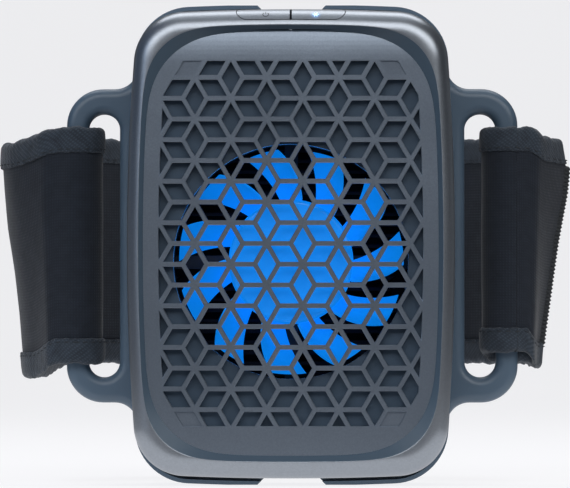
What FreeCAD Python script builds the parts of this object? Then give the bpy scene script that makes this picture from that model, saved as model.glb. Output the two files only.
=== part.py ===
import FreeCAD, Part

# Hot and cold therapy machine: a fan-cooled thermoelectric unit that a strap holds on a limb.
#
# Frame: +Z up, the grille faces -Y, and the origin is the middle of the treatment plate's contact face.
# "Depth" is the distance in front of that face, so a depth of 44 lies at Y = -44.
# Sizes are millimetres and degrees.
import math
import os
import re

import Sketcher

# A number is a cell of the sheet. A rule that starts with = is worked out from cells wherever it is used.
SIZES = [
    # front bezel
    ("shell_width", 78.8, "overall width of the front shell"),
    ("shell_height", 112.7, "overall height of the front shell"),
    ("shell_crown", 590, "radius of the bowed sides"),
    ("shell_corner", 12.5, "corner radius of the front outline"),
    ("shell_wall", 2.2, "side wall"),
    ("front_depth", "=fan_back + fan_thick + 5.5", "front of the rim"),
    ("split_depth", "=front_depth - 20", "back edge of the front bezel"),
    ("rim_round", 5, "rounding of the rim"),
    ("dish_margin", 2.8, "rim to dish edge at the sides"),
    ("dish_margin_tall", 4, "rim to dish edge at top and bottom"),
    ("dish_corner", 14, "corner radius of the dish edge"),
    ("panel_width", "=shell_width - 7.8", "grille panel"),
    ("panel_height", "=shell_height - 10.9", "grille panel"),
    ("panel_corner", 18, "grille panel"),
    ("panel_depth", "=front_depth - 1.7", "front face of the grille panel"),
    ("panel_thick", 1.8, "grille panel"),
    ("seam", 0.1, "gap round an inset piece"),
    ("ledge_thick", 1.2, "ledge behind the panel"),
    ("ledge_margin", 2.1, "grille window to ledge opening"),
    # grille lattice
    ("grille_width", "=panel_width - 7.6", "window of open cells"),
    ("grille_height", "=panel_height - 14.2", "window of open cells"),
    ("grille_corner", 10, "opening of the ledge behind the cells"),
    ("grille_bow", 540, "radius of the window's bowed sides"),
    ("blind_x", "=grille_width / 2 - 7.3", "middle to a blind corner cell"),
    ("cell_side", 5.75, "side of one rhombic cell between rib middles"),
    ("rib_width", 1, "lattice rib"),
    ("ghost_depth", 0.6, "blind cells in the four corners"),
    # fan
    ("fan_drop", 4.3, "fan axis below the middle"),
    ("fan_size", 60, "square fan frame"),
    ("fan_corner", 5, "corner radius of the fan frame"),
    ("fan_back", "=plate_thick + module_thick + sink_base + fin_tall", "depth of the fan's back face"),
    ("fan_thick", 11, "fan frame"),
    ("bore_radius", "=min(fan_size / 2 - 1.8; (grille_width + ledge_margin) / 2 - light_width - 0.6)",
     "air way through the fan and baffle"),
    ("tip_gap", 1.1, "blade tip to bore"),
    ("hub_radius", "=fan_size / 4", "rotor hub"),
    ("hub_wall", 1.2, "rotor hub"),
    ("blade_count", 11, "fan blades"),
    ("blade_thick", 1, "fan blade"),
    ("blade_edge", 0.5, "fan blade at its front and back edges"),
    ("blade_bow", 0.9, "bow of a blade's section"),
    ("blade_clear", 1.2, "struts to blades"),
    ("blade_angle", 19, "part of the turn that one blade covers"),
    ("blade_start", -9, "angle of the first blade's root"),
    ("blade_curl", 8.5, "lean of a blade from its root to the middle of the air way"),
    ("blade_sweep", 21.5, "lean of a blade from root to tip"),
    ("motor_base", 1.5, "motor base and its struts"),
    ("hub_gap", 0.7, "motor base to hub"),
    ("hub_proud", 0.7, "hub in front of the blades"),
    ("hub_face", 1.5, "front wall of the hub"),
    ("hub_round", 1.1, "front edge of the hub"),
    ("rotor_gap", 0.8, "blades behind the front of the frame"),
    ("shaft_radius", 1.5, "fan shaft"),
    ("shaft_seat", 1, "shaft in the front wall of the hub"),
    ("shaft_back", 1.2, "fan's back face to the shaft's end"),
    ("shaft_play", 0.05, "shaft in its bearings"),
    ("bearing_radius", 4, "ball bearing"),
    ("bearing_wide", 2.5, "ball bearing"),
    ("tube_wall", 1, "bearing tube"),
    ("tube_long", 6, "bearing tube"),
    ("magnet_thick", 1.3, "ring magnet"),
    ("magnet_long", 6, "ring magnet"),
    ("magnet_inset", 0.3, "back edge of the hub to the magnet"),
    ("air_gap", 0.5, "magnet to stator"),
    ("stator_long", 4, "stator"),
    ("stator_lift", 1.7, "motor base to stator"),
    ("core_wall", 1.6, "stator ring"),
    ("limb_wide", 2.6, "stator limb"),
    ("shoe_wide", 8.8, "pole shoe"),
    ("shoe_thick", 1.1, "pole shoe"),
    ("fan_hole_pitch", "=fan_size - 10", "fan screw holes"),
    ("baffle_thick", 1.7, "baffle plate"),
    ("baffle_corner", 12, "baffle plate"),
    ("light_width", 2.6, "light ring"),
    ("light_thick", 0.9, "light ring"),
    # heat path
    ("sink_base", 4, "heat sink base"),
    ("sink_corner", 2, "heat sink base"),
    ("fin_thick", 0.8, "heat sink fin"),
    ("fin_tall", 12.5, "heat sink fin"),
    ("fin_count", 24, "heat sink fins"),
    ("fin_pitch", "=(fan_size - fin_thick) / (fin_count - 1)", "heat sink fin"),
    ("fin_inset", 0.5, "fin end to the side of the heat sink"),
    ("sink_post", 2.6, "radius of a fan post on the heat sink"),
    ("post_clear", 1.6, "fan post to the fins round it"),
    ("post_thread", 7, "fan screw in its post"),
    ("module_size", "=plate_size - 20", "thermoelectric module"),
    ("module_gap", 0.5, "module to the foam round it"),
    ("module_thick", 4, "thermoelectric module"),
    ("ceramic_thick", 0.8, "module face"),
    ("pellet_side", 1.4, "module pellet"),
    ("pellet_margin", 1.5, "pellets to the module's edge"),
    ("pellet_rows", 8, "module pellets each way"),
    ("plate_size", "=shell_width - 18.8", "treatment plate contact face"),
    ("plate_corner", 14, "treatment plate contact face"),
    ("plate_thick", 7, "treatment plate"),
    ("plate_round", 1.2, "edge of the contact face"),
    ("plate_thread", 4, "clamp screw in the plate"),
    ("plate_flange", 1.5, "rim that holds the plate in the housing"),
    ("plate_flange_thick", 2.4, "rim that holds the plate in the housing"),
    ("plate_gap", 0.3, "plate to housing"),
    ("clamp_x", "=min(fan_size; plate_size) / 2 - 4", "heat sink screws"),
    ("clamp_z", 10, "heat sink screws"),
    ("sensor_long", 7, "temperature sensor"),
    ("sensor_wide", 2, "temperature sensor"),
    ("sensor_thick", 1.8, "temperature sensor"),
    ("sensor_gap", 0.3, "sensor in its pocket"),
    ("sensor_z", "=plate_size / 2 - 4.7", "temperature sensor"),
    # rear housing
    ("back_depth", 2, "back face of the housing"),
    ("back_wall", 2, "back wall of the housing"),
    ("housing_wall", 1.8, "side wall of the housing"),
    ("housing_fit", 0.2, "housing in the frame and in the bezel"),
    ("lap", 2, "housing wall inside the bezel"),
    ("flange_width", 1.4, "housing flange behind the frame"),
    ("flange_thick", 1, "housing flange behind the frame"),
    ("screw_x", "=shell_width / 2 - 8.4", "housing screws"),
    ("screw_z", "=shell_height / 2 - 11.35", "housing screws"),
    ("boss_radius", 3.2, "screw boss"),
    ("screw_radius", 1.2, "screw shank"),
    ("screw_clear", 0.3, "screw in a plain hole"),
    ("head_radius", 2.2, "screw head"),
    ("head_thick", 1.8, "screw head"),
    ("head_clear", 0.3, "screw head in its well"),
    ("thread_spare", 0.5, "end of a screw to the bottom of its hole"),
    ("head_sink", 13, "depth of the screw well"),
    ("screw_grip", 6, "thread in the front boss"),
    ("vent_count", 9, "exhaust slots each side"),
    ("vent_pitch", "=(fan_size - 18.4) / (vent_count - 1)", "exhaust slots"),
    ("vent_tall", 2.4, "exhaust slots"),
    ("vent_depth", 15.6, "back end of the exhaust slots"),
    ("vent_long", 5.4, "exhaust slots"),
    # strap frame
    ("frame_width", "=shell_width + 0.8", "strap frame"),
    ("frame_height", "=shell_height + 4.2", "strap frame before the flats"),
    ("frame_flat", "=frame_height / 2 - 0.2", "height of the flats that the unit stands on"),
    ("frame_corner", "=shell_corner + 1", "corner radius of the strap frame"),
    ("frame_front", "=split_depth - 0.8", "front edge of the strap frame"),
    ("lip_thick", 1, "free lip outside the shadow groove"),
    ("groove_depth", 6, "shadow groove behind the bezel"),
    ("notch_width", 13.3, "notch in the lips"),
    ("notch_floor", "=frame_flat - 1.65", "height of the notch floor"),
    ("web_inset", 0.3, "web between the loops inside the band"),
    ("loop_reach", "=shell_width / 2 + 15.8", "middle to outer edge of a strap loop"),
    ("loop_height", "=shell_height - 35.9", "strap loop"),
    ("loop_corner", 9, "outer corners of a strap loop"),
    ("loop_back", 8, "back face of the strap loops"),
    ("loop_thick", 6, "strap loop"),
    ("loop_round", 2.2, "edge rounding of a strap loop"),
    ("loop_blend", 5.5, "hollow between loop and body"),
    ("bar_width", 5.4, "outer bar of a strap loop"),
    ("slot_width", 7.6, "strap slot"),
    ("slot_height", "=loop_height - 12.4", "strap slot"),
    # buttons
    ("button_tilt", 60, "press direction above the forward axis"),
    ("pill_length", 26, "both buttons together"),
    ("pill_width", 5.2, "buttons"),
    ("button_gap", 0.2, "button to opening"),
    ("button_split", 0.5, "gap between the two buttons"),
    ("cap_thick", 3, "button cap below the rim's crest"),
    ("cap_wall", 2.6, "bezel skin round the buttons"),
    ("button_travel", 0.4, "press"),
    ("tab_thick", 0.9, "retaining tab under a cap"),
    ("tab_reach", 1.2, "retaining tab past the pill"),
    ("tab_gap", 0.4, "tab in its well"),
    ("post_radius", 1, "button post"),
    ("post_up", 0.6, "button post above the middle of the pill"),
    ("post_length", 1.7, "button post"),
    ("switch_gap", 0.7, "post to switch at rest"),
    ("switch_side", 3, "tactile switch"),
    ("switch_tall", 1.3, "tactile switch"),
    ("knob_radius", 0.8, "switch knob"),
    ("knob_tall", 0.4, "switch knob"),
    ("key_board_thick", 1, "button board"),
    ("key_board_half", "=pill_length / 2 + 4", "half length of the button board"),
    ("key_board_low", 1.8, "button board below the middle of the pill"),
    ("key_board_high", 3.2, "button board above the middle of the pill"),
    ("rail_thick", 2.2, "rail that carries the button board"),
    # boards, port and battery
    ("board_thick", 1.6, "circuit boards"),
    ("main_board_depth", 16, "back face of the main board"),
    ("main_board_low", "=fan_size / 2 - fan_drop + 2.3", "lower edge of the main board"),
    ("main_board_high", "=shell_height / 2 - 5.35", "upper edge of the main board"),
    ("main_board_wide", "=shell_width - 26.8", "main board"),
    ("post_x", "=main_board_wide / 2 - 5", "main board posts"),
    ("post_z", "=main_board_high - 4.5", "main board posts"),
    ("stand_radius", 2.2, "board posts"),
    ("pin_radius", 0.9, "pin on a main board post"),
    ("pin_proud", 0.6, "pin in front of the main board"),
    ("chip_tall", 1.2, "tallest chip on the main board"),
    ("port_wide", 8.94, "receptacle shell"),
    ("port_thick", 3.2, "receptacle shell"),
    ("port_long", 7.3, "receptacle shell"),
    ("port_skin", 0.3, "receptacle shell"),
    ("port_play", 0.35, "opening round the receptacle"),
    ("charge_depth", 8.6, "back face of the charge board"),
    ("charge_wide", 26, "charge board"),
    ("foot_inset", 3, "side of the charge board to its posts"),
    ("charge_low", "=shell_height / 2 - 4.95", "lower edge of the charge board, below the middle"),
    ("charge_high", "=fan_size / 2 + fan_drop + 2.2", "upper edge of the charge board, below the middle"),
    ("cell_room", "=shell_height / 2 - fan_size / 2 - fan_drop - 4.05", "room for the lower cell"),
    ("cell_space", "=fan_back + fan_thick - cell_gap - main_board_depth - board_thick - chip_tall - 1.5",
     "room for the upper cell"),
    ("cell_radius", "=min(cell_room; cell_space) / 2", "battery cell"),
    ("cell_gap", 0.2, "cell to the baffle in front of it"),
    ("cell_long", "=shell_width - 28.8", "battery cell"),
    ("cell_depth", "=fan_back + fan_thick - cell_gap - cell_radius", "axis of the battery cells"),
    ("cell_up", "=fan_size / 2 - fan_drop + cell_radius + 3.3", "axis of the upper cell"),
    ("cell_down", "=fan_size / 2 + fan_drop + cell_radius + 0.3", "axis of the lower cell, downwards"),
    ("cradle_gap", 0.1, "cell in its cradle"),
    ("cradle_wall", 1.1, "cradle behind the cell"),
    ("cradle_long", "=cell_long + 5", "cradle"),
    ("cradle_tall", "=2 * cell_radius - 4", "cradle"),
    # strap
    ("strap_wide", "=slot_height - 6.4", "strap"),
    ("core_thick", 2.2, "strap between its bindings"),
    ("binding_thick", 0.5, "binding on each face"),
    ("binding_wide", 6.3, "binding along each edge"),
    ("stitch_inset", 0.5, "edge of the strap to the cloth inside its binding"),
    ("hem", 2, "binding across the end of the strap"),
    ("skin", 0.02, "cloth to the binding folded over it"),
    ("strap_clear", 0.3, "strap to loop bar"),
    ("lean", 22, "slope of the strap as it leaves a bar"),
    ("fold_slope", 55, "slope of the strap beyond the crease"),
    ("crease_x", "=loop_reach + 4.4", "middle to the crease"),
    ("fold_radius", 4, "turn of the inner layer"),
    ("crease_radius", 2.4, "turn of the outer layer"),
    ("flap_long", 11, "free end beyond the crease"),
    ("hook_thick", 1.2, "hook patch"),
    ("hook_long", 8.5, "hook patch"),
    ("hook_wide", "=strap_wide - 16", "hook patch"),
    ("hook_gap", 0.3, "hooks to the strap under them"),
    ("split_gap", 0.3, "free end to the fixed strap at its hinge"),
    ("side_radius", 20, "bend at the sides of the ring"),
    ("side_run", 8, "straight left of the left crease"),
    ("tail_long", 4.2, "sewn tail inside the left crease"),
    ("limb_depth", 84, "treatment plate to the far side of the ring"),
]

doc = FreeCAD.newDocument("therapy_machine")
sheet = doc.addObject("Spreadsheet::Sheet", "dims")
DRIVING = [row for row in SIZES if not isinstance(row[1], str)]
DERIVED = {alias: rule.lstrip("=") for alias, rule, _ in SIZES if isinstance(rule, str)}
for row, (alias, number, note) in enumerate(DRIVING, 1):
    sheet.set(f"A{row}", alias)
    sheet.set(f"B{row}", str(number))
    sheet.set(f"C{row}", note)
    sheet.setAlias(f"B{row}", alias)
doc.recompute()

NAMES = {alias for alias, _, _ in DRIVING}
V = FreeCAD.Vector
PIECES = []


# ---------------------------------------------------------------- helpers

def cells(text):
    """An expression with its size names turned into spreadsheet references and its rules written out."""
    def swap(match):
        word = match[0]
        if word in DERIVED:
            return f"({cells(DERIVED[word])})"
        return "dims." + word if word in NAMES else word
    return re.sub(r"[a-z_]+", swap, text)


def size(text):
    """The value of an expression now."""
    return float(sheet.evalExpression(cells(text)))


def link(obj, prop, text):
    obj.setExpression(prop, cells(text))


def piece(obj, label):
    """Names a finished sub-part; the label is its file's name."""
    obj.Label = label
    PIECES.append(obj)
    return obj


def new_body(name):
    return doc.addObject("PartDesign::Body", name)


def sketch(body, name, depth="0", plane="XZ_Plane", up="0"):
    """A sketch on an origin plane of its body. On XZ its depth grows towards the front."""
    made = body.newObject("Sketcher::SketchObject", name)
    support = next(f for f in body.Origin.OriginFeatures if f.Role == plane)
    made.AttachmentSupport = (support, [""])
    made.MapMode = "FlatFace"
    link(made, "AttachmentOffset.Base.z", depth)
    link(made, "AttachmentOffset.Base.y", up)
    return made


def hold(sk, constraint, text):
    """Adds a dimension and ties it to an expression."""
    number = sk.addConstraint(constraint)
    sk.renameConstraint(number, f"held{number}")
    link(sk, f"Constraints.held{number}", text)


def place(sk, kind, geometry, point, text):
    """Holds a point's X or Y from the sketch origin at a signed expression."""
    if size(text) >= 0:
        hold(sk, Sketcher.Constraint(kind, -1, 1, geometry, point, size(text)), text)
    else:
        hold(sk, Sketcher.Constraint(kind, geometry, point, -1, 1, -size(text)), f"-({text})")


def disc(sk, radius, x="0", y="0"):
    centre = V(size(x), size(y), 0)
    ring = sk.addGeometry(Part.Circle(centre, V(0, 0, 1), size(radius)))
    hold(sk, Sketcher.Constraint("Radius", ring, size(radius)), radius)
    place(sk, "DistanceX", ring, 3, x)
    place(sk, "DistanceY", ring, 3, y)


def box(sk, left, right, low, high):
    """A rectangle between four signed expressions."""
    x0, x1, y0, y1 = size(left), size(right), size(low), size(high)
    corners = [V(x0, y0, 0), V(x1, y0, 0), V(x1, y1, 0), V(x0, y1, 0)]
    lines = [sk.addGeometry(Part.LineSegment(corners[i], corners[(i + 1) % 4])) for i in range(4)]
    for i in range(4):
        sk.addConstraint(Sketcher.Constraint("Coincident", lines[i], 2, lines[(i + 1) % 4], 1))
        sk.addConstraint(Sketcher.Constraint("Vertical" if i % 2 else "Horizontal", lines[i]))
    place(sk, "DistanceX", lines[0], 1, left)
    place(sk, "DistanceX", lines[0], 2, right)
    place(sk, "DistanceY", lines[0], 1, low)
    place(sk, "DistanceY", lines[2], 1, high)


def slab(sk, width, height, corner, x="0", y="0"):
    """A rectangle with rounded corners about (x, y)."""
    half_x, half_y, r = size(width) / 2, size(height) / 2, size(corner)
    cx, cy = size(x), size(y)
    arcs, lines = [], []
    for i, (sx, sy) in enumerate([(1, 1), (-1, 1), (-1, -1), (1, -1)]):
        middle = V(cx + sx * (half_x - r), cy + sy * (half_y - r), 0)
        start = i * math.pi / 2
        circle = Part.Circle(middle, V(0, 0, 1), r)
        arcs.append(sk.addGeometry(Part.ArcOfCircle(circle, start, start + math.pi / 2)))
    for i in range(4):
        a = sk.Geometry[arcs[i]].EndPoint
        b = sk.Geometry[arcs[(i + 1) % 4]].StartPoint
        lines.append(sk.addGeometry(Part.LineSegment(a, b)))
    for i in range(4):
        sk.addConstraint(Sketcher.Constraint("Tangent", arcs[i], 2, lines[i], 1))
        sk.addConstraint(Sketcher.Constraint("Tangent", lines[i], 2, arcs[(i + 1) % 4], 1))
    sk.addConstraint(Sketcher.Constraint("Horizontal", lines[0]))
    sk.addConstraint(Sketcher.Constraint("Vertical", lines[1]))
    for i in range(1, 4):
        sk.addConstraint(Sketcher.Constraint("Equal", arcs[0], arcs[i]))
    hold(sk, Sketcher.Constraint("Radius", arcs[0], r), corner)
    place(sk, "DistanceY", lines[0], 1, f"{y} + ({height}) / 2")
    place(sk, "DistanceX", lines[1], 1, f"{x} - ({width}) / 2")
    place(sk, "DistanceY", lines[2], 1, f"{y} - ({height}) / 2")
    place(sk, "DistanceX", lines[3], 1, f"{x} + ({width}) / 2")


def crowned(sk, width, height, crown, corner):
    """A rectangle with bowed sides and round corners: eight tangent arcs about the middle."""
    half_x, half_y, bow, r = size(width) / 2, size(height) / 2, size(crown), size(corner)
    side, cap = V(half_x - bow, 0, 0), V(0, half_y - bow, 0)
    apart = (cap - side).Length
    middle = (side + cap) * 0.5
    rise = math.sqrt((bow - r) ** 2 - (apart / 2) ** 2)
    away = V(side.y - cap.y, cap.x - side.x, 0).normalize()
    corner_at = middle + away * rise
    turn_a = math.atan2(corner_at.y, corner_at.x - side.x)
    turn_b = math.atan2(corner_at.y - cap.y, corner_at.x)
    cx, cy = corner_at.x, corner_at.y
    half_turn = math.pi
    steps = [
        (V(side.x, 0, 0), bow, -turn_a, turn_a),
        (V(cx, cy, 0), r, turn_a, turn_b),
        (V(0, cap.y, 0), bow, turn_b, half_turn - turn_b),
        (V(-cx, cy, 0), r, half_turn - turn_b, half_turn - turn_a),
        (V(-side.x, 0, 0), bow, half_turn - turn_a, half_turn + turn_a),
        (V(-cx, -cy, 0), r, half_turn + turn_a, half_turn + turn_b),
        (V(0, -cap.y, 0), bow, half_turn + turn_b, 2 * half_turn - turn_b),
        (V(cx, -cy, 0), r, 2 * half_turn - turn_b, 2 * half_turn - turn_a),
    ]
    arcs = []
    for centre, radius, start, end in steps:
        circle = Part.Circle(centre, V(0, 0, 1), radius)
        arcs.append(sk.addGeometry(Part.ArcOfCircle(circle, start, end)))
    for i in range(8):
        sk.addConstraint(Sketcher.Constraint("Tangent", arcs[i], 2, arcs[(i + 1) % 8], 1))
    for i in (0, 4):
        sk.addConstraint(Sketcher.Constraint("PointOnObject", arcs[i], 3, -1))
    for i in (2, 6):
        sk.addConstraint(Sketcher.Constraint("PointOnObject", arcs[i], 3, -2))
    for i in (3, 5, 7):
        sk.addConstraint(Sketcher.Constraint("Equal", arcs[1], arcs[i]))
    for i in (2, 4, 6):
        hold(sk, Sketcher.Constraint("Radius", arcs[i], bow), crown)
    hold(sk, Sketcher.Constraint("Radius", arcs[0], bow), crown)
    hold(sk, Sketcher.Constraint("Radius", arcs[1], r), corner)
    place(sk, "DistanceX", arcs[0], 3, f"({width}) / 2 - ({crown})")
    place(sk, "DistanceX", arcs[4], 3, f"({crown}) - ({width}) / 2")
    place(sk, "DistanceY", arcs[2], 3, f"({height}) / 2 - ({crown})")
    place(sk, "DistanceY", arcs[6], 3, f"({crown}) - ({height}) / 2")


def add(body, sk, length, name):
    """Pads a sketch along its normal: towards the front on XZ."""
    made = body.newObject("PartDesign::Pad", name)
    made.Profile = sk
    link(made, "Length", length)
    return made


def cut(body, sk, length, name, forward=False):
    """Pockets a sketch against its normal, or along it when forward."""
    made = body.newObject("PartDesign::Pocket", name)
    made.Profile = sk
    made.Reversed = forward
    link(made, "Length", length)
    return made


def rounded(body, radius, name, wanted):
    """Fillets the edges of the body so far whose every point passes a test."""
    doc.recompute()
    base = body.Tip
    chosen = []
    for number, edge in enumerate(base.Shape.Edges, 1):
        if all(wanted(point) for point in edge.discretize(5)):
            chosen.append(f"Edge{number}")
    made = body.newObject("PartDesign::Fillet", name)
    made.Base = (base, chosen)
    link(made, "Radius", radius)
    return made


def near(a, b):
    return abs(a - b) < 1e-4


def four(x, y):
    """The four mirror images of a point, as expressions."""
    return [(f"{a}({x})", f"{b}({y})") for a in ("", "-") for b in ("", "-")]


def ring(name, outer, inner, start, length):
    """A plain ring about the fan axis."""
    body = new_body(name)
    sk = sketch(body, name + "_section", start)
    disc(sk, outer)
    disc(sk, inner)
    add(body, sk, length, name + "_pad")
    return body


def drop(obj):
    """Hangs a piece that is drawn about the fan axis at the fan's height."""
    link(obj, "Placement.Base.z", "-fan_drop")
    return obj


def group(label, members):
    made = doc.addObject("Part::Compound", label)
    made.Links = members
    return piece(made, label)


def screws(label, places, under_head, grip, radius):
    """Identical screws along the depth axis, each with its head in front of or behind its shank.

    A negative grip runs the shank towards the back.
    """
    made = []
    for number, (x, z) in enumerate(places):
        parts = []
        forward = size(grip) > 0
        head_start = f"({under_head}) - head_thick" if forward else under_head
        shank_start = under_head if forward else f"({under_head}) + ({grip})"
        for kind, wide, tall, start in (
            ("head", "head_radius", "head_thick", head_start),
            ("shank", radius, f"abs({grip})", shank_start),
        ):
            rod = doc.addObject("Part::Cylinder", f"{label}_{kind}{number}")
            link(rod, "Radius", wide)
            link(rod, "Height", tall)
            rod.Placement.Rotation = FreeCAD.Rotation(V(1, 0, 0), 90)
            link(rod, "Placement.Base.x", x)
            link(rod, "Placement.Base.y", f"-({start})")
            link(rod, "Placement.Base.z", z)
            parts.append(rod)
        screw = doc.addObject("Part::Fuse", f"{label}{number}")
        screw.Base, screw.Tool = parts
        made.append(screw)
    return group(label, made)


# ---------------------------------------------------------------- front: bezel, panel, lattice, baffle

def shell_block(name):
    """The outer form of the front shell before anything is cut from it."""
    body = new_body(name)
    sk = sketch(body, name + "_outline", "split_depth")
    crowned(sk, "shell_width", "shell_height", "shell_crown", "shell_corner")
    add(body, sk, "front_depth - split_depth", name + "_block")
    front = -size("front_depth")
    rounded(body, "rim_round", name + "_rim", lambda p: near(p.y, front))
    return body


def button_sketch(body, name, lift):
    """A sketch across the press direction of the buttons, lift above the crest of the rim there."""
    made = sketch(body, name)
    made.AttachmentOffset = FreeCAD.Placement(V(), FreeCAD.Rotation(V(1, 0, 0), -size("button_tilt")))
    link(made, "AttachmentOffset.Rotation.Angle", "-button_tilt")
    centre_z = "shell_height / 2 - rim_round + (rim_round + {0}) * sin(button_tilt * 1deg)"
    centre_depth = "front_depth - rim_round + (rim_round + {0}) * cos(button_tilt * 1deg)"
    link(made, "AttachmentOffset.Base.y", centre_z.format(lift))
    link(made, "AttachmentOffset.Base.z", centre_depth.format(lift))
    return made


BOARD_TOP = "-(cap_thick + tab_thick + post_length + switch_gap + switch_tall)"


def front_bezel():
    body = shell_block("front_bezel_body")
    ledge_depth = "panel_depth - panel_thick - ledge_thick"

    dish_edge = sketch(body, "dish_edge", "front_depth + 0.02")
    crowned(dish_edge, "shell_width - 2 * dish_margin", "shell_height - 2 * dish_margin_tall",
            "shell_crown - dish_margin", "dish_corner")
    dish_floor = sketch(body, "dish_floor", "panel_depth")
    crowned(dish_floor, "panel_width", "panel_height", "shell_crown - 2 * dish_margin", "panel_corner")
    dish = body.newObject("PartDesign::SubtractiveLoft", "dish")
    dish.Profile = dish_edge
    dish.Sections = [dish_floor]
    dish.Ruled = True

    cavity = sketch(body, "cavity_outline", ledge_depth)
    crowned(cavity, "shell_width - 2 * shell_wall", "shell_height - 2 * shell_wall",
            "shell_crown - shell_wall", "shell_corner - shell_wall")
    cut(body, cavity, f"{ledge_depth} - split_depth", "cavity")

    rails = button_sketch(body, "rail_section", BOARD_TOP)
    for sign in ("", "-"):
        ends = (f"{sign}(key_board_half - rail_thick)", f"{sign}(key_board_half)")
        left, right = ends if sign == "" else ends[::-1]
        box(rails, left, right, "1 - key_board_low", "key_board_high")
    add(body, rails, f"-({BOARD_TOP}) - cap_wall", "rails")

    seat = sketch(body, "panel_seat_outline", "panel_depth")
    crowned(seat, "panel_width", "panel_height", "shell_crown - 2 * dish_margin", "panel_corner")
    cut(body, seat, "panel_thick", "panel_seat")
    window = sketch(body, "ledge_window", "panel_depth - panel_thick")
    slab(window, "grille_width + 2 * ledge_margin", "grille_height + 2 * ledge_margin",
         "grille_corner + ledge_margin")
    cut(body, window, "ledge_thick", "ledge_opening")

    bosses = sketch(body, "boss_section", "split_depth")
    for x, z in four("screw_x", "screw_z"):
        disc(bosses, "boss_radius", x, z)
    add(body, bosses, f"{ledge_depth} - split_depth", "bosses")
    holes = sketch(body, "boss_holes", "split_depth")
    for x, z in four("screw_x", "screw_z"):
        disc(holes, "screw_radius + seam / 2", x, z)
    cut(body, holes, "screw_grip + thread_spare", "screw_holes", forward=True)

    opening = button_sketch(body, "button_opening", "2")
    slab(opening, "pill_length + 2 * button_gap", "pill_width + 2 * button_gap",
         "pill_width / 2 + button_gap - 0.01")
    cut(body, opening, "cap_wall + 3", "button_hole")
    well = button_sketch(body, "button_well", "-cap_wall")
    well_end = "pill_length / 2 + tab_reach + tab_gap"
    well_high = "pill_width / 2 + 2 * tab_gap"
    box(well, f"-({well_end})", well_end, "-pill_width / 2 - 0.3", well_high)
    cut(body, well, "cap_thick + button_travel + 0.2 - cap_wall", "cap_well")
    deep = button_sketch(body, "post_well", "-(cap_thick + button_travel)")
    box(deep, f"-({well_end})", well_end, "-pill_width / 2 + 1.4", well_high)
    cut(body, deep, "5", "stem_well")
    return piece(body, "front_bezel")


def window_face(half_x, half_z, bow):
    """The grille window: straight ends and sides bowed like the shell's."""
    edge_x = half_x - (bow - math.sqrt(bow ** 2 - half_z ** 2))
    low_left, low_right = V(-edge_x, 0, -half_z), V(edge_x, 0, -half_z)
    high_left, high_right = V(-edge_x, 0, half_z), V(edge_x, 0, half_z)
    edges = [
        Part.makeLine(low_left, low_right),
        Part.Arc(low_right, V(half_x, 0, 0), high_right).toShape(),
        Part.makeLine(high_right, high_left),
        Part.Arc(high_left, V(-half_x, 0, 0), low_left).toShape(),
    ]
    return Part.Face(Part.Wire(edges))


def polygon(points):
    return Part.Face(Part.makePolygon(points + points[:1]))


def lattice_cells():
    """The open cells and the blind corner cells of a rhombic (tumbling block) lattice, as faces.

    Six-way joints lie on a triangular grid. Each pair of neighbours spans the long diagonal of one cell.
    The window's edge clips the outer cells, and next to the right edge each short rib is left out.
    """
    side, rib = size("cell_side"), size("rib_width")
    half_x, half_z = size("grille_width / 2"), size("grille_height / 2")
    grid = side * math.sqrt(3)
    shrink = 1 - rib / (grid / 2)
    window = window_face(half_x, half_z, size("grille_bow"))
    opened, blind = [], []
    corner_x, corner_z = half_x - 1.6 * side, half_z - 0.4 * grid
    columns = int(half_x / (1.5 * side)) + 2
    rows = int(half_z / grid) + 2
    smallest = 0.12 * side * grid / 2
    last_column = max(i for i in range(columns) if -side + 1.5 * side * i < half_x)
    for i in range(-columns, columns + 1):
        for j in range(-rows, rows + 1):
            joint = V(-side + 1.5 * side * i, 0, (j + (i % 2) / 2) * grid)
            for degrees in (90, 30, -30):
                along = V(math.cos(math.radians(degrees)), 0, math.sin(math.radians(degrees)))
                across = V(-along.z, 0, along.x)
                middle = joint + along * (grid / 2)
                in_corner = abs(middle.x) > corner_x and abs(middle.z) > corner_z
                past_side = abs(middle.x) > half_x and (degrees != 90 or abs(middle.z) > corner_z - grid / 2)
                if in_corner or past_side or abs(middle.z) > half_z + grid:
                    continue
                reach, spread = along * (grid / 2 * shrink), across * (side / 2 * shrink)
                cell = polygon([middle + reach, middle + spread, middle - reach, middle - spread])
                cell = cell.common(window)
                if cell.Area > smallest:
                    opened.extend(cell.Faces)
            if i == last_column and abs(joint.z) < corner_z - grid / 2:
                point = joint + V(rib / math.sqrt(3), 0, 0)
                flare = V(side, 0, side * math.sqrt(3))
                wedge = polygon([point, point + flare, point + V(flare.x, 0, -flare.z)])
                opened.extend(wedge.common(window).Faces)
    short = side * shrink / 2
    tall, slant = grid * shrink / 4, side * shrink / 4
    blind_z = (math.floor(half_z / grid - 0.25) + 0.25) * grid
    for x in (-1, 1):
        for z in (-1, 1):
            middle = V(x * size("blind_x"), 0, z * blind_z)
            up = V(-x * z * slant, 0, tall)
            flat = V(short, 0, 0)
            cell = polygon([middle + up + flat, middle + up - flat, middle - up - flat, middle - up + flat])
            blind.extend(cell.common(window).Faces)
    return opened, blind


def prisms(name, faces, start, length):
    """Faces at y = 0 drawn out towards the front from a depth."""
    made = doc.addObject("Part::Feature", name)
    made.Shape = Part.makeCompound(faces).extrude(V(0, -length, 0))
    made.Placement.Base.y = -start
    return made


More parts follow.
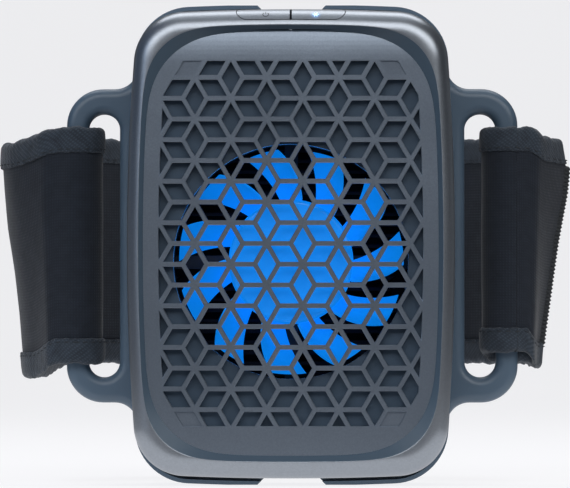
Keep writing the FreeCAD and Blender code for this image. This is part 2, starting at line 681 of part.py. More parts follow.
def grille_panel():
    body = new_body("panel_blank")
    sk = sketch(body, "panel_outline", "panel_depth - panel_thick")
    crowned(sk, "panel_width - 2 * seam", "panel_height - 2 * seam",
            "shell_crown - 2 * dish_margin", "panel_corner - seam")
    add(body, sk, "panel_thick", "panel_pad")
    doc.recompute()
    back, thick = size("panel_depth - panel_thick"), size("panel_thick")
    ghost = size("ghost_depth")
    opened, blind = lattice_cells()
    blank = body
    for tool in (
        prisms("open_cells", opened, back - 1, thick + 2),
        prisms("blind_cells", blind, back + thick - ghost, ghost + 1),
    ):
        result = doc.addObject("Part::Cut", "panel_less_" + tool.Name)
        result.Base, result.Tool = blank, tool
        blank = result
    return piece(blank, "grille_panel")


def fan_baffle():
    body = new_body("baffle")
    start = "fan_back + fan_thick"
    sk = sketch(body, "baffle_outline", start)
    slab(sk, "grille_width + ledge_margin", "grille_height + ledge_margin", "baffle_corner")
    disc(sk, "bore_radius", "0", "-fan_drop")
    add(body, sk, "baffle_thick", "baffle_plate")
    rebate = sketch(body, "light_rebate", f"{start} + light_thick")
    disc(rebate, "bore_radius + light_width", "0", "-fan_drop")
    cut(body, rebate, "light_thick", "light_seat")
    return piece(body, "fan_baffle")


def light_parts():
    light = drop(ring("light_ring_body", "bore_radius + light_width - seam", "bore_radius",
                      "fan_back + fan_thick", "light_thick - seam / 2"))
    return piece(light, "light_ring")


# ---------------------------------------------------------------- fan

BASE_TOP = "(fan_back + motor_base)"
HUB_BACK = f"({BASE_TOP} + hub_gap)"
HUB_FRONT = "(fan_back + fan_thick - rotor_gap + hub_proud)"
HUB_INSIDE = "(hub_radius - hub_wall)"
SHAFT_FRONT = f"({HUB_FRONT} - hub_face + shaft_seat)"


def fan_frame():
    body = new_body("fan_frame_body")
    sk = sketch(body, "frame_outline", "fan_back")
    slab(sk, "fan_size", "fan_size", "fan_corner")
    disc(sk, "bore_radius")
    for x, z in four("fan_hole_pitch / 2", "fan_hole_pitch / 2"):
        disc(sk, "screw_radius + screw_clear", x, z)
    add(body, sk, "fan_thick", "frame_block")
    heads = sketch(body, "fan_head_wells", "fan_back + fan_thick")
    for x, z in four("fan_hole_pitch / 2", "fan_hole_pitch / 2"):
        disc(heads, "head_radius + head_clear", x, z)
    cut(body, heads, "head_thick", "head_bores")
    base = sketch(body, "motor_base", "fan_back")
    disc(base, "hub_radius - 0.5")
    disc(base, "shaft_radius + 0.5")
    add(body, base, "motor_base", "motor_plate")
    strut = sketch(body, "strut_section", "fan_back")
    box(strut, "hub_radius - 1.5", "bore_radius + 0.4", "-1.6", "1.6")
    arm = add(body, strut, "motor_base", "strut")
    arms = body.newObject("PartDesign::PolarPattern", "struts")
    arms.Originals = [arm]
    arms.Axis = (base, ["N_Axis"])
    arms.Angle = 360
    arms.Occurrences = 4
    body.Tip = arms
    tube = sketch(body, "bearing_tube_section", BASE_TOP)
    disc(tube, "bearing_radius + tube_wall")
    disc(tube, "bearing_radius + seam / 2")
    add(body, tube, "tube_long", "bearing_tube")
    return piece(drop(body), "fan_frame")


def blade_section(body, name, out, swing):
    """A curved blade section across the radius, swung round the axis as the blade leans."""
    sk = sketch(body, name, out, plane="YZ_Plane")
    low, high = -size(f"{BASE_TOP} + blade_clear"), -size("fan_back + fan_thick - rotor_gap")
    half = size(out) * math.tan(math.radians(size("blade_angle")) / 2)
    centre = size(out) * math.tan(math.radians(size(swing)))
    thick, thin = size("blade_thick") / 2, size("blade_edge") / 2
    ends = [V(low, centre + half, 0), V(high, centre - half, 0)]
    along = (ends[1] - ends[0]).normalize()
    across = V(-along.y, along.x, 0)
    belly = (ends[0] + ends[1]) * 0.5 + across * size("blade_bow")
    edges = []
    for sign in (1, -1):
        edges.append([ends[0] + across * (thin * sign), belly + across * (thick * sign),
                      ends[1] + across * (thin * sign)])
    for edge in edges:
        sk.addGeometry(Part.Arc(*edge))
    sk.addGeometry(Part.LineSegment(edges[0][2], edges[1][2]))
    sk.addGeometry(Part.LineSegment(edges[1][0], edges[0][0]))
    return sk


def fan_rotor():
    body = new_body("rotor_body")
    cup = sketch(body, "hub_section", HUB_BACK)
    disc(cup, "hub_radius")
    add(body, cup, f"{HUB_FRONT} - {HUB_BACK}", "hub_block")
    front = -size(HUB_FRONT)
    rounded(body, "hub_round", "hub_edge", lambda p: near(p.y, front))
    root = blade_section(body, "blade_root", "hub_radius - hub_wall / 2", "blade_start")
    middle = blade_section(body, "blade_middle", "(hub_radius + bore_radius) / 2", "blade_start + blade_curl")
    tip = blade_section(body, "blade_tip", "bore_radius + 1", "blade_start + blade_sweep")
    blade = body.newObject("PartDesign::AdditiveLoft", "blade")
    blade.Profile = root
    blade.Sections = [middle, tip]
    blades = body.newObject("PartDesign::PolarPattern", "blades")
    blades.Originals = [blade]
    blades.Axis = (cup, ["N_Axis"])
    blades.Angle = 360
    link(blades, "Occurrences", "blade_count")
    body.Tip = blades
    tips = sketch(body, "tip_trim", "fan_back + fan_thick + 1")
    disc(tips, "bore_radius - tip_gap")
    disc(tips, "2 * bore_radius")
    cut(body, tips, "fan_thick + 2", "tip_cut")
    hollow = sketch(body, "hub_hollow", f"{HUB_FRONT} - hub_face")
    disc(hollow, HUB_INSIDE)
    cut(body, hollow, f"{HUB_FRONT} - hub_face - {HUB_BACK}", "hub_cup")
    bore = sketch(body, "hub_bore", SHAFT_FRONT)
    disc(bore, "shaft_radius")
    cut(body, bore, "shaft_seat", "shaft_bore")
    return piece(drop(body), "fan_rotor")


def motor():
    magnet = ring("magnet_body", f"{HUB_INSIDE} - seam / 2", f"{HUB_INSIDE} - magnet_thick",
                  f"{HUB_BACK} + magnet_inset", "magnet_long")
    piece(drop(magnet), "fan_magnet_ring")

    shaft = new_body("shaft_body")
    sk = sketch(shaft, "shaft_section", "fan_back + shaft_back")
    disc(sk, "shaft_radius")
    add(shaft, sk, f"{SHAFT_FRONT} - fan_back - shaft_back", "shaft_rod")
    piece(drop(shaft), "fan_shaft")

    races = []
    ends = (f"{BASE_TOP} + seam", f"{BASE_TOP} + tube_long - bearing_wide - 2 * seam")
    for number, start in enumerate(ends):
        race = ring(f"race{number}", "bearing_radius", "shaft_radius + shaft_play", start, "bearing_wide")
        races.append(drop(race))
    group("fan_bearings", races)

    stator = new_body("stator_body")
    back = f"{BASE_TOP} + stator_lift"
    tube = "bearing_radius + tube_wall"
    shoe_front = f"sqrt(({HUB_INSIDE} - magnet_thick - air_gap) ^ 2 - (shoe_wide / 2) ^ 2)"
    core = sketch(stator, "stator_core", back)
    disc(core, f"{tube} + core_wall")
    disc(core, f"{tube} + seam / 2")
    add(stator, core, "stator_long", "stator_ring")
    arm = sketch(stator, "stator_arm", back)
    box(arm, f"{tube} + core_wall / 2", f"{shoe_front} - shoe_thick / 2", "-limb_wide / 2", "limb_wide / 2")
    limb = add(stator, arm, "stator_long", "pole_limb")
    shoe = sketch(stator, "stator_shoe", back)
    box(shoe, f"{shoe_front} - shoe_thick", shoe_front, "-shoe_wide / 2", "shoe_wide / 2")
    head = add(stator, shoe, "stator_long", "pole_shoe")
    poles = stator.newObject("PartDesign::PolarPattern", "poles")
    poles.Originals = [limb, head]
    poles.Axis = (core, ["N_Axis"])
    poles.Angle = 360
    poles.Occurrences = 4
    stator.Tip = poles
    piece(drop(stator), "fan_stator")


# ---------------------------------------------------------------- heat path

def heat_sink():
    body = new_body("sink_body")
    start = "plate_thick + module_thick"
    base = sketch(body, "sink_base_outline", start)
    slab(base, "fan_size", "fan_size", "sink_corner")
    add(body, base, "sink_base", "sink_plate")
    fin = sketch(body, "fin_section", f"{start} + sink_base")
    box(fin, "fin_inset - fan_size / 2", "fan_size / 2 - fin_inset",
        "-fan_size / 2", "fin_thick - fan_size / 2")
    first = add(body, fin, f"fan_back - ({start}) - sink_base", "fin")
    fins = body.newObject("PartDesign::LinearPattern", "fins")
    fins.Originals = [first]
    fins.Direction = (fin, ["V_Axis"])
    link(fins, "Occurrences", "fin_count")
    link(fins, "Length", "(fin_count - 1) * fin_pitch")
    body.Tip = fins
    wells = sketch(body, "sink_wells", "fan_back")
    for x, z in four("fan_hole_pitch / 2", "fan_hole_pitch / 2"):
        disc(wells, "sink_post + post_clear", x, z)
    for x, z in four("clamp_x", "clamp_z"):
        disc(wells, "head_radius + head_clear", x, f"{z} + fan_drop")
    cut(body, wells, f"fan_back - ({start}) - sink_base", "fin_clearings")
    posts = sketch(body, "fan_posts", f"{start} + sink_base")
    for x, z in four("fan_hole_pitch / 2", "fan_hole_pitch / 2"):
        disc(posts, "sink_post", x, z)
    add(body, posts, f"fan_back - ({start}) - sink_base", "posts")
    holes = sketch(body, "fan_post_holes", "fan_back")
    for x, z in four("fan_hole_pitch / 2", "fan_hole_pitch / 2"):
        disc(holes, "screw_radius + seam / 2", x, z)
    cut(body, holes, "post_thread + thread_spare", "post_bores")
    clamps = sketch(body, "clamp_holes", f"{start} + sink_base")
    for x, z in four("clamp_x", "clamp_z"):
        disc(clamps, "screw_radius + seam / 2", x, f"{z} + fan_drop")
    cut(body, clamps, "sink_base", "clamp_bores")
    return piece(drop(body), "heat_sink")


def thermoelectric_module():
    body = new_body("module_body")
    cold = sketch(body, "cold_face", "plate_thick")
    slab(cold, "module_size", "module_size", "0.5")
    add(body, cold, "ceramic_thick", "cold_ceramic")
    pellet = sketch(body, "pellet_section", "plate_thick + ceramic_thick")
    edge = "pellet_margin - module_size / 2"
    box(pellet, edge, f"{edge} + pellet_side", edge, f"{edge} + pellet_side")
    first = add(body, pellet, "module_thick - 2 * ceramic_thick", "pellet")
    array = body.newObject("PartDesign::MultiTransform", "pellets")
    passes = []
    for axis in ("H_Axis", "V_Axis"):
        step = body.newObject("PartDesign::LinearPattern", "pellets_" + axis[0].lower())
        step.Direction = (pellet, [axis])
        link(step, "Length", "module_size - 2 * pellet_margin - pellet_side")
        link(step, "Occurrences", "pellet_rows")
        passes.append(step)
    array.Originals = [first]
    array.Transformations = passes
    body.Tip = array
    hot = sketch(body, "hot_face", "plate_thick + module_thick - ceramic_thick")
    slab(hot, "module_size", "module_size", "0.5")
    add(body, hot, "ceramic_thick", "hot_ceramic")
    return piece(body, "thermoelectric_module")


def insulation_frame():
    body = new_body("insulation_body")
    sk = sketch(body, "foam_outline", "plate_thick")
    slab(sk, "plate_size", "plate_size", "3")
    slab(sk, "module_size + 2 * module_gap", "module_size + 2 * module_gap", "1")
    for x, z in four("clamp_x", "clamp_z"):
        disc(sk, "screw_radius + screw_clear", x, z)
    add(body, sk, "module_thick", "foam")
    pocket = "sensor_thick + 2 * sensor_gap"
    slot = sketch(body, "sensor_slot", f"plate_thick + {pocket}")
    slab(slot, "sensor_long + 2 * sensor_gap", "sensor_wide + 2 * sensor_gap",
         "sensor_wide / 2 + sensor_gap - 0.05", "0", "sensor_z")
    cut(body, slot, pocket, "sensor_pocket")
    piece(body, "insulation_frame")

    sensor = new_body("sensor_body")
    bead = sketch(sensor, "bead", "plate_thick")
    slab(bead, "sensor_long", "sensor_wide", "sensor_wide / 2 - 0.05", "0", "sensor_z")
    add(sensor, bead, "sensor_thick", "bead_pad")
    piece(sensor, "temperature_sensor")


def treatment_plate():
    body = new_body("plate_body")
    face = sketch(body, "contact_outline", "0")
    slab(face, "plate_size", "plate_size", "plate_corner")
    add(body, face, "plate_thick", "contact_block")
    rounded(body, "plate_round", "contact_edge", lambda p: near(p.y, 0))
    flange = sketch(body, "flange_outline", "plate_thick - plate_flange_thick")
    slab(flange, "plate_size + 2 * plate_flange", "plate_size + 2 * plate_flange",
         "plate_corner + plate_flange")
    add(body, flange, "plate_flange_thick", "flange")
    holes = sketch(body, "plate_holes", "plate_thick")
    for x, z in four("clamp_x", "clamp_z"):
        disc(holes, "screw_radius + seam / 2", x, z)
    cut(body, holes, "plate_thread + thread_spare", "plate_bores")
    piece(body, "treatment_plate")

    gasket = new_body("gasket_body")
    sk = sketch(gasket, "gasket_outline", "back_depth + back_wall")
    slab(sk, "plate_size + 2 * plate_flange", "plate_size + 2 * plate_flange",
         "plate_corner + plate_flange")
    slab(sk, "plate_size + 2 * plate_gap", "plate_size + 2 * plate_gap", "plate_corner + plate_gap")
    add(gasket, sk, "plate_thick - plate_flange_thick - back_depth - back_wall", "gasket_pad")
    piece(gasket, "plate_gasket")


# ---------------------------------------------------------------- rear housing and strap frame

SEAT_WIDTH = "shell_width - 2 * shell_wall - 2 * housing_fit"
SEAT_HEIGHT = "shell_height - 2 * shell_wall - 2 * housing_fit"
SEAT_CROWN = "shell_crown - shell_wall - housing_fit"
SEAT_CORNER = "shell_corner - shell_wall - housing_fit"


def vents(body, reach):
    """Exhaust slots through both side walls, level with the heat sink's fins."""
    slots = sketch(body, "vent_section", f"-({reach})", plane="YZ_Plane")
    low = "-fan_drop - (vent_count - 1) / 2 * vent_pitch"
    box(slots, "-(vent_depth + vent_long)", "-vent_depth",
        f"{low} - vent_tall / 2", f"{low} + vent_tall / 2")
    first = cut(body, slots, f"2 * ({reach})", "vent", forward=True)
    row = body.newObject("PartDesign::LinearPattern", "vents")
    row.Originals = [first]
    row.Direction = (slots, ["V_Axis"])
    link(row, "Length", "(vent_count - 1) * vent_pitch")
    link(row, "Occurrences", "vent_count")
    body.Tip = row


def port_hole(body):
    """The way in for the plug, from below."""
    hole = sketch(body, "port_section", "-frame_flat - 1", plane="XY_Plane")
    slab(hole, "port_wide + 2 * port_play", "port_thick + 2 * port_play",
         "port_thick / 2 + port_play - 0.02", "0", "-(charge_depth + board_thick + port_thick / 2)")
    cut(body, hole, "8", "port_opening", forward=True)


def rear_housing():
    body = new_body("housing_body")
    sk = sketch(body, "housing_outline", "back_depth")
    crowned(sk, SEAT_WIDTH, SEAT_HEIGHT, SEAT_CROWN, SEAT_CORNER)
    add(body, sk, "split_depth + lap - back_depth", "housing_block")
    flange = sketch(body, "housing_flange", "back_depth")
    crowned(flange, f"{SEAT_WIDTH} + 2 * flange_width", f"{SEAT_HEIGHT} + 2 * flange_width",
            SEAT_CROWN, f"{SEAT_CORNER} + flange_width")
    add(body, flange, "flange_thick", "flange_pad")
    back = -size("back_depth")
    rounded(body, "flange_thick * 0.7", "back_edge", lambda p: near(p.y, back))
    inside = sketch(body, "housing_inside", "split_depth + lap")
    crowned(inside, f"{SEAT_WIDTH} - 2 * housing_wall", f"{SEAT_HEIGHT} - 2 * housing_wall",
            f"{SEAT_CROWN} - housing_wall", f"{SEAT_CORNER} - housing_wall")
    cut(body, inside, "split_depth + lap - back_depth - back_wall", "housing_hollow")
    lap_cuts = sketch(body, "lap_cuts", "split_depth + lap")
    for x, z in four("screw_x", "screw_z"):
        disc(lap_cuts, "boss_radius + housing_fit", x, z)
    box(lap_cuts, "-(cell_long / 2 + seam)", "cell_long / 2 + seam", "-shell_height / 2", "-cell_down")
    cut(body, lap_cuts, "lap", "lap_clearings")
    vents(body, "shell_width / 2")
    port_hole(body)
    bosses = sketch(body, "housing_bosses", "back_depth + back_wall")
    for x, z in four("screw_x", "screw_z"):
        disc(bosses, "boss_radius", x, z)
    add(body, bosses, "split_depth - back_depth - back_wall", "boss_pads")
    wells = sketch(body, "screw_wells", "back_depth")
    for x, z in four("screw_x", "screw_z"):
        disc(wells, "head_radius + head_clear", x, z)
    cut(body, wells, "head_sink", "well_bores", forward=True)
    holes = sketch(body, "housing_holes", "split_depth")
    for x, z in four("screw_x", "screw_z"):
        disc(holes, "screw_radius + seam / 2", x, z)
    cut(body, holes, "split_depth - back_depth - head_sink", "hole_bores")
    opening = sketch(body, "plate_opening", "back_depth + back_wall")
    slab(opening, "plate_size + 2 * plate_gap", "plate_size + 2 * plate_gap", "plate_corner + plate_gap")
    cut(body, opening, "back_wall", "plate_way")
    posts = sketch(body, "board_posts", "back_depth + back_wall")
    for sign in ("", "-"):
        disc(posts, "stand_radius", f"{sign}post_x", "post_z")
    add(body, posts, "main_board_depth - back_depth - back_wall", "main_board_posts")
    pins = sketch(body, "board_pins", "back_depth + back_wall")
    for sign in ("", "-"):
        disc(pins, "pin_radius", f"{sign}post_x", "post_z")
    add(body, pins, "main_board_depth - back_depth - back_wall + board_thick + pin_proud",
        "main_board_pins")
    feet = sketch(body, "charge_posts", "back_depth + back_wall")
    for sign in ("", "-"):
        disc(feet, "stand_radius", f"{sign}(charge_wide / 2 - foot_inset)",
             "-(charge_low + charge_high) / 2")
    add(body, feet, "charge_depth - back_depth - back_wall", "charge_board_posts")
    return piece(body, "rear_housing")


def strap_frame():
    body = new_body("frame_body")
    web = sketch(body, "web_outline", "loop_back")
    crowned(web, "frame_width - 2 * web_inset", "frame_height - 2 * web_inset",
            "shell_crown", "frame_corner - web_inset")
    add(body, web, "loop_thick", "web")
    loops = sketch(body, "loop_outline", "loop_back")
    slab(loops, "2 * loop_reach", "loop_height", "loop_corner")
    add(body, loops, "loop_thick", "loops")
    edge_x, edge_z = size("frame_width / 2"), size("loop_height / 2")
    rounded(body, "loop_blend", "loop_hollows",
            lambda p: abs(abs(p.x) - edge_x) < 3 and near(abs(p.z), edge_z))
    faces = (-size("loop_back"), -size("loop_back + loop_thick"))
    rounded(body, "loop_round", "loop_edges", lambda p: any(near(p.y, y) for y in faces))
    slots = sketch(body, "slot_outline", "loop_back + loop_thick")
    for sign in ("", "-"):
        slab(slots, "slot_width", "slot_height", "slot_width / 2 - 0.02",
             f"{sign}(loop_reach - bar_width - slot_width / 2)")
    cut(body, slots, "loop_thick", "slots")
    inner = [size("loop_reach - bar_width - slot_width") - 0.01, size("loop_reach - bar_width") + 0.01]
    rounded(body, "loop_round", "slot_edges",
            lambda p: any(near(p.y, y) for y in faces) and inner[0] < abs(p.x) < inner[1])
    band = sketch(body, "band_outline", "back_depth + flange_thick")
    crowned(band, "frame_width", "frame_height", "shell_crown", "frame_corner")
    add(body, band, "frame_front - back_depth - flange_thick", "band")
    flats = sketch(body, "flat_cut", "frame_front")
    for sign in ("", "-"):
        low, high = f"{sign}frame_flat", f"{sign}(frame_flat + 2)"
        box(flats, "-frame_width / 2", "frame_width / 2", *sorted((low, high), key=size))
    cut(body, flats, "frame_front", "standing_flats")
    seat = sketch(body, "frame_seat", "frame_front")
    crowned(seat, f"{SEAT_WIDTH} + 2 * housing_fit", f"{SEAT_HEIGHT} + 2 * housing_fit",
            f"{SEAT_CROWN} + housing_fit", f"{SEAT_CORNER} + housing_fit")
    cut(body, seat, "frame_front", "seat_way")
    groove = sketch(body, "shadow_groove", "frame_front")
    crowned(groove, "frame_width - 2 * lip_thick", "frame_height - 2 * lip_thick",
            "shell_crown - lip_thick", "frame_corner - lip_thick")
    cut(body, groove, "groove_depth", "groove")
    for sign in ("", "-"):
        notch = sketch(body, "notch_top" if sign == "" else "notch_bottom", "frame_front")
        notch_shape(notch, sign)
        cut(body, notch, "frame_front", "top_notch" if sign == "" else "bottom_notch")
    vents(body, "frame_width / 2 + 0.5")
    port_hole(body)
    return piece(body, "strap_frame")


def notch_shape(sk, sign):
    """A notch with 45 degree ends, wider at its mouth."""
    floor, mouth = f"{sign}notch_floor", f"{sign}(frame_flat + 1)"
    rise = "(frame_flat + 1 - notch_floor)"
    half = size("notch_width / 2")
    z0, z1 = size(floor), size(mouth)
    wide = half + size(rise)
    points = [V(-half, z0, 0), V(half, z0, 0), V(wide, z1, 0), V(-wide, z1, 0)]
    lines = [sk.addGeometry(Part.LineSegment(points[i], points[(i + 1) % 4])) for i in range(4)]
    for i in range(4):
        sk.addConstraint(Sketcher.Constraint("Coincident", lines[i], 2, lines[(i + 1) % 4], 1))
    place(sk, "DistanceX", lines[0], 1, "-notch_width / 2")
    place(sk, "DistanceX", lines[0], 2, "notch_width / 2")
    place(sk, "DistanceX", lines[2], 1, f"notch_width / 2 + {rise}")
    place(sk, "DistanceX", lines[2], 2, f"-(notch_width / 2 + {rise})")
    place(sk, "DistanceY", lines[0], 1, floor)
    place(sk, "DistanceY", lines[0], 2, floor)
    place(sk, "DistanceY", lines[2], 1, mouth)
    place(sk, "DistanceY", lines[2], 2, mouth)


# ---------------------------------------------------------------- buttons

def button(label, sign):
    """One half of the pill: a cap flush with the rim, a retaining tab and a post over its switch."""
    form = shell_block(label + "_form")
    prism = new_body(label + "_prism")
    lid = button_sketch(prism, label + "_pill", "-cap_thick")
    slab(lid, "pill_length", "pill_width", "pill_width / 2 - 0.01")
    add(prism, lid, "cap_thick + 2", label + "_pill_pad")
    half = button_sketch(prism, label + "_cut", "3")
    near_edge, far_edge = f"{sign}(button_split / 2)", f"-({sign}(pill_length))"
    box(half, *sorted((near_edge, far_edge), key=size), "-pill_width", "pill_width")
    cut(prism, half, "cap_thick + 4", label + "_half")
    cap = doc.addObject("Part::Common", label + "_cap")
    cap.Base, cap.Tool = prism, form

    stem = new_body(label + "_stem")
    tab = button_sketch(stem, label + "_tab", "-(cap_thick + tab_thick)")
    edges = sorted((f"{sign}(button_split / 2)", f"{sign}(pill_length / 2 + tab_reach)"), key=size)
    box(tab, *edges, "post_up - 1.5 * post_radius", "pill_width / 2")
    add(stem, tab, "tab_thick", label + "_tab_pad")
    post = button_sketch(stem, label + "_post", "-(cap_thick + tab_thick + post_length)")
    disc(post, "post_radius", f"{sign}pill_length / 4", "post_up")
    add(stem, post, "post_length", label + "_post_pad")
    whole = doc.addObject("Part::Fuse", label + "_whole")
    whole.Base, whole.Tool = cap, stem
    return piece(whole, label)


def key_board():
    board = new_body("key_board_body")
    sk = button_sketch(board, "key_board_outline", f"({BOARD_TOP} - key_board_thick)")
    box(sk, "-key_board_half", "key_board_half", "-key_board_low", "key_board_high")
    add(board, sk, "key_board_thick", "key_board_pad")
    piece(board, "button_board")
    pair = []
    for sign in ("", "-"):
        switch = new_body("switch" + ("_right" if sign == "" else "_left"))
        sk = button_sketch(switch, "switch_outline", BOARD_TOP)
        middle = f"{sign}pill_length / 4"
        box(sk, f"{middle} - switch_side / 2", f"{middle} + switch_side / 2",
            "post_up - switch_side / 2", "post_up + switch_side / 2")
        add(switch, sk, "switch_tall - knob_tall", "switch_case")
        dome = button_sketch(switch, "switch_dome", f"({BOARD_TOP} + switch_tall - knob_tall)")
        disc(dome, "knob_radius", middle, "post_up")
        add(switch, dome, "knob_tall", "switch_knob")
        pair.append(switch)
    group("button_switches", pair)


# ---------------------------------------------------------------- boards, port, battery

def boards():
    board = new_body("main_board_body")
    sk = sketch(board, "main_board_outline", "main_board_depth")
    slab(sk, "main_board_wide", "main_board_high - main_board_low", "2", "0",
         "(main_board_high + main_board_low) / 2")
    for sign in ("", "-"):
        disc(sk, "pin_radius + seam", f"{sign}post_x", "post_z")
    add(board, sk, "board_thick", "main_board_pad")
    piece(board, "main_board")

    face = "main_board_depth + board_thick"
    chips = []
    for number, (x, z, wide, tall, thick) in enumerate((
        ("-10", "main_board_low + 12", "7", "7", "0.9"),
        ("4", "main_board_low + 12", "5", "5", "0.9"),
        ("15", "main_board_low + 7", "6", "6", "chip_tall"),
        ("-15", "main_board_low + 4", "4", "3", "1.1"),
    )):
        chip = new_body(f"chip{number}")
        sk = sketch(chip, f"chip{number}_outline", face)
        slab(sk, wide, tall, "0.3", x, z)
        add(chip, sk, thick, f"chip{number}_pad")
        chips.append(chip)
    group("board_chips", chips)

    charger = new_body("charge_board_body")
    sk = sketch(charger, "charge_board_outline", "charge_depth")
    box(sk, "-charge_wide / 2", "charge_wide / 2", "-charge_low", "-charge_high")
    add(charger, sk, "board_thick", "charge_board_pad")
    piece(charger, "charge_board")

    port = new_body("port_body")
    middle = "-(charge_depth + board_thick + port_thick / 2)"
    mouth = "notch_floor - 0.4"
    shell = sketch(port, "port_shell", f"-({mouth})", plane="XY_Plane")
    slab(shell, "port_wide", "port_thick", "port_thick / 2 - 0.02", "0", middle)
    add(port, shell, "port_long", "port_shell_pad")
    inside = sketch(port, "port_inside", f"-({mouth})", plane="XY_Plane")
    slab(inside, "port_wide - 2 * port_skin", "port_thick - 2 * port_skin",
         "port_thick / 2 - port_skin - 0.02", "0", middle)
    cut(port, inside, "port_long - 1.2", "port_hollow", forward=True)
    tongue = sketch(port, "port_tongue", f"-({mouth}) + 1.2", plane="XY_Plane")
    slab(tongue, "6.7", "0.7", "0.2", "0", middle)
    add(port, tongue, "port_long - 2", "port_tongue_pad")
    piece(port, "usb_c_port")


def batteries():
    made, cradles = [], []
    for name, height in (("upper", "cell_up"), ("lower", "-cell_down")):
        cell = new_body(name + "_cell")
        sk = sketch(cell, name + "_can", "-cell_long / 2", plane="YZ_Plane")
        disc(sk, "cell_radius", "-cell_depth", height)
        add(cell, sk, "cell_long - 1", name + "_can_pad")
        cap = sketch(cell, name + "_cap", "cell_long / 2 - 1", plane="YZ_Plane")
        disc(cap, "cell_radius / 3", "-cell_depth", height)
        add(cell, cap, "1", name + "_cap_pad")
        made.append(cell)

        cradle = new_body(name + "_cradle")
        sk = sketch(cradle, name + "_saddle", "-cradle_long / 2", plane="YZ_Plane")
        box(sk, "-(cell_depth - 2)", "-(cell_depth - cell_radius - cradle_wall)",
            f"{height} - cradle_tall / 2", f"{height} + cradle_tall / 2")
        add(cradle, sk, "cradle_long", name + "_saddle_pad")
        bed = sketch(cradle, name + "_bed", "-(cell_long / 2 + cradle_gap)", plane="YZ_Plane")
        disc(bed, "cell_radius + cradle_gap", "-cell_depth", height)
        cut(cradle, bed, "cell_long + 2 * cradle_gap", name + "_bed_cut", forward=True)
        cradles.append(cradle)
    group("battery_cells", made)
    group("battery_cradles", cradles)


# ---------------------------------------------------------------- strap

class Path:
    """A centre line in plan, drawn by straight runs and by turns that are tangent to them."""

    def __init__(self, x, y, heading):
        self.at = V(x, y, 0)
        self.heading = heading
        self.steps = []

    def left_of(self, heading):
        return V(-math.sin(math.radians(heading)), math.cos(math.radians(heading)), 0)

    def run(self, length):
        ahead = V(math.cos(math.radians(self.heading)), math.sin(math.radians(self.heading)), 0)
        start = self.at
        self.at = start + ahead * length
        self.steps.append((start, self.heading, self.at, self.heading, None))

    def turn(self, angle, radius):
        """Turns left by a positive angle and right by a negative one."""
        inward = math.copysign(radius, angle)
        centre = self.at + self.left_of(self.heading) * inward
        start, first = self.at, self.heading
        self.heading += angle
        self.at = centre - self.left_of(self.heading) * inward
        self.steps.append((start, first, self.at, self.heading, (centre, inward)))

    def face(self, right, left):
        """The strip between two offsets from the centre line, as a face at z = 0."""
        rows = []
        for offset in (right, left):
            edges = []
            for start, first, end, last, bend in self.steps:
                a = start + self.left_of(first) * offset
                b = end + self.left_of(last) * offset
                if bend is None:
                    edges.append(Part.LineSegment(a, b).toShape())
                else:
                    centre, inward = bend
                    middle = centre - self.left_of((first + last) / 2) * (inward - offset)
                    edges.append(Part.Arc(a, middle, b).toShape())
            rows.append(edges)
        first_cap = Part.LineSegment(rows[0][0].Vertexes[0].Point, rows[1][0].Vertexes[0].Point).toShape()
        last_cap = Part.LineSegment(rows[0][-1].Vertexes[-1].Point, rows[1][-1].Vertexes[-1].Point).toShape()
        loop = rows[0] + [last_cap] + rows[1][::-1] + [first_cap]
        return Part.Face(Part.Wire(Part.__sortEdges__(loop)))

    def strip(self, right, left, low, high):
        """The strip stood up between two heights."""
        solid = self.face(right, left).extrude(V(0, 0, high - low))
        solid.translate(V(0, 0, low))
        return solid


def feature(label, shape):
    made = doc.addObject("Part::Feature", label + "_solid")
    made.Shape = shape
    return piece(made, label)


def strap_layout():
    """Sizes that both ends of the strap share."""
    outer = size("core_thick / 2 + binding_thick")
    edge = size("loop_round")
    corner = math.hypot(size("bar_width / 2") - edge, size("loop_thick / 2") - edge) + edge
    roll = corner + size("strap_clear") + outer
    lean, slope = size("lean"), size("fold_slope")
    bar_x = size("loop_reach - bar_width / 2")
    bar_y = -size("loop_back + loop_thick / 2")
    leave = V(math.sin(math.radians(lean)), math.cos(math.radians(lean)), 0)
    front = V(bar_x + roll * leave.x, bar_y - roll * leave.y, 0)
    return outer, roll, lean, slope, front, V(bar_x + roll * leave.x, bar_y + roll * leave.y, 0)


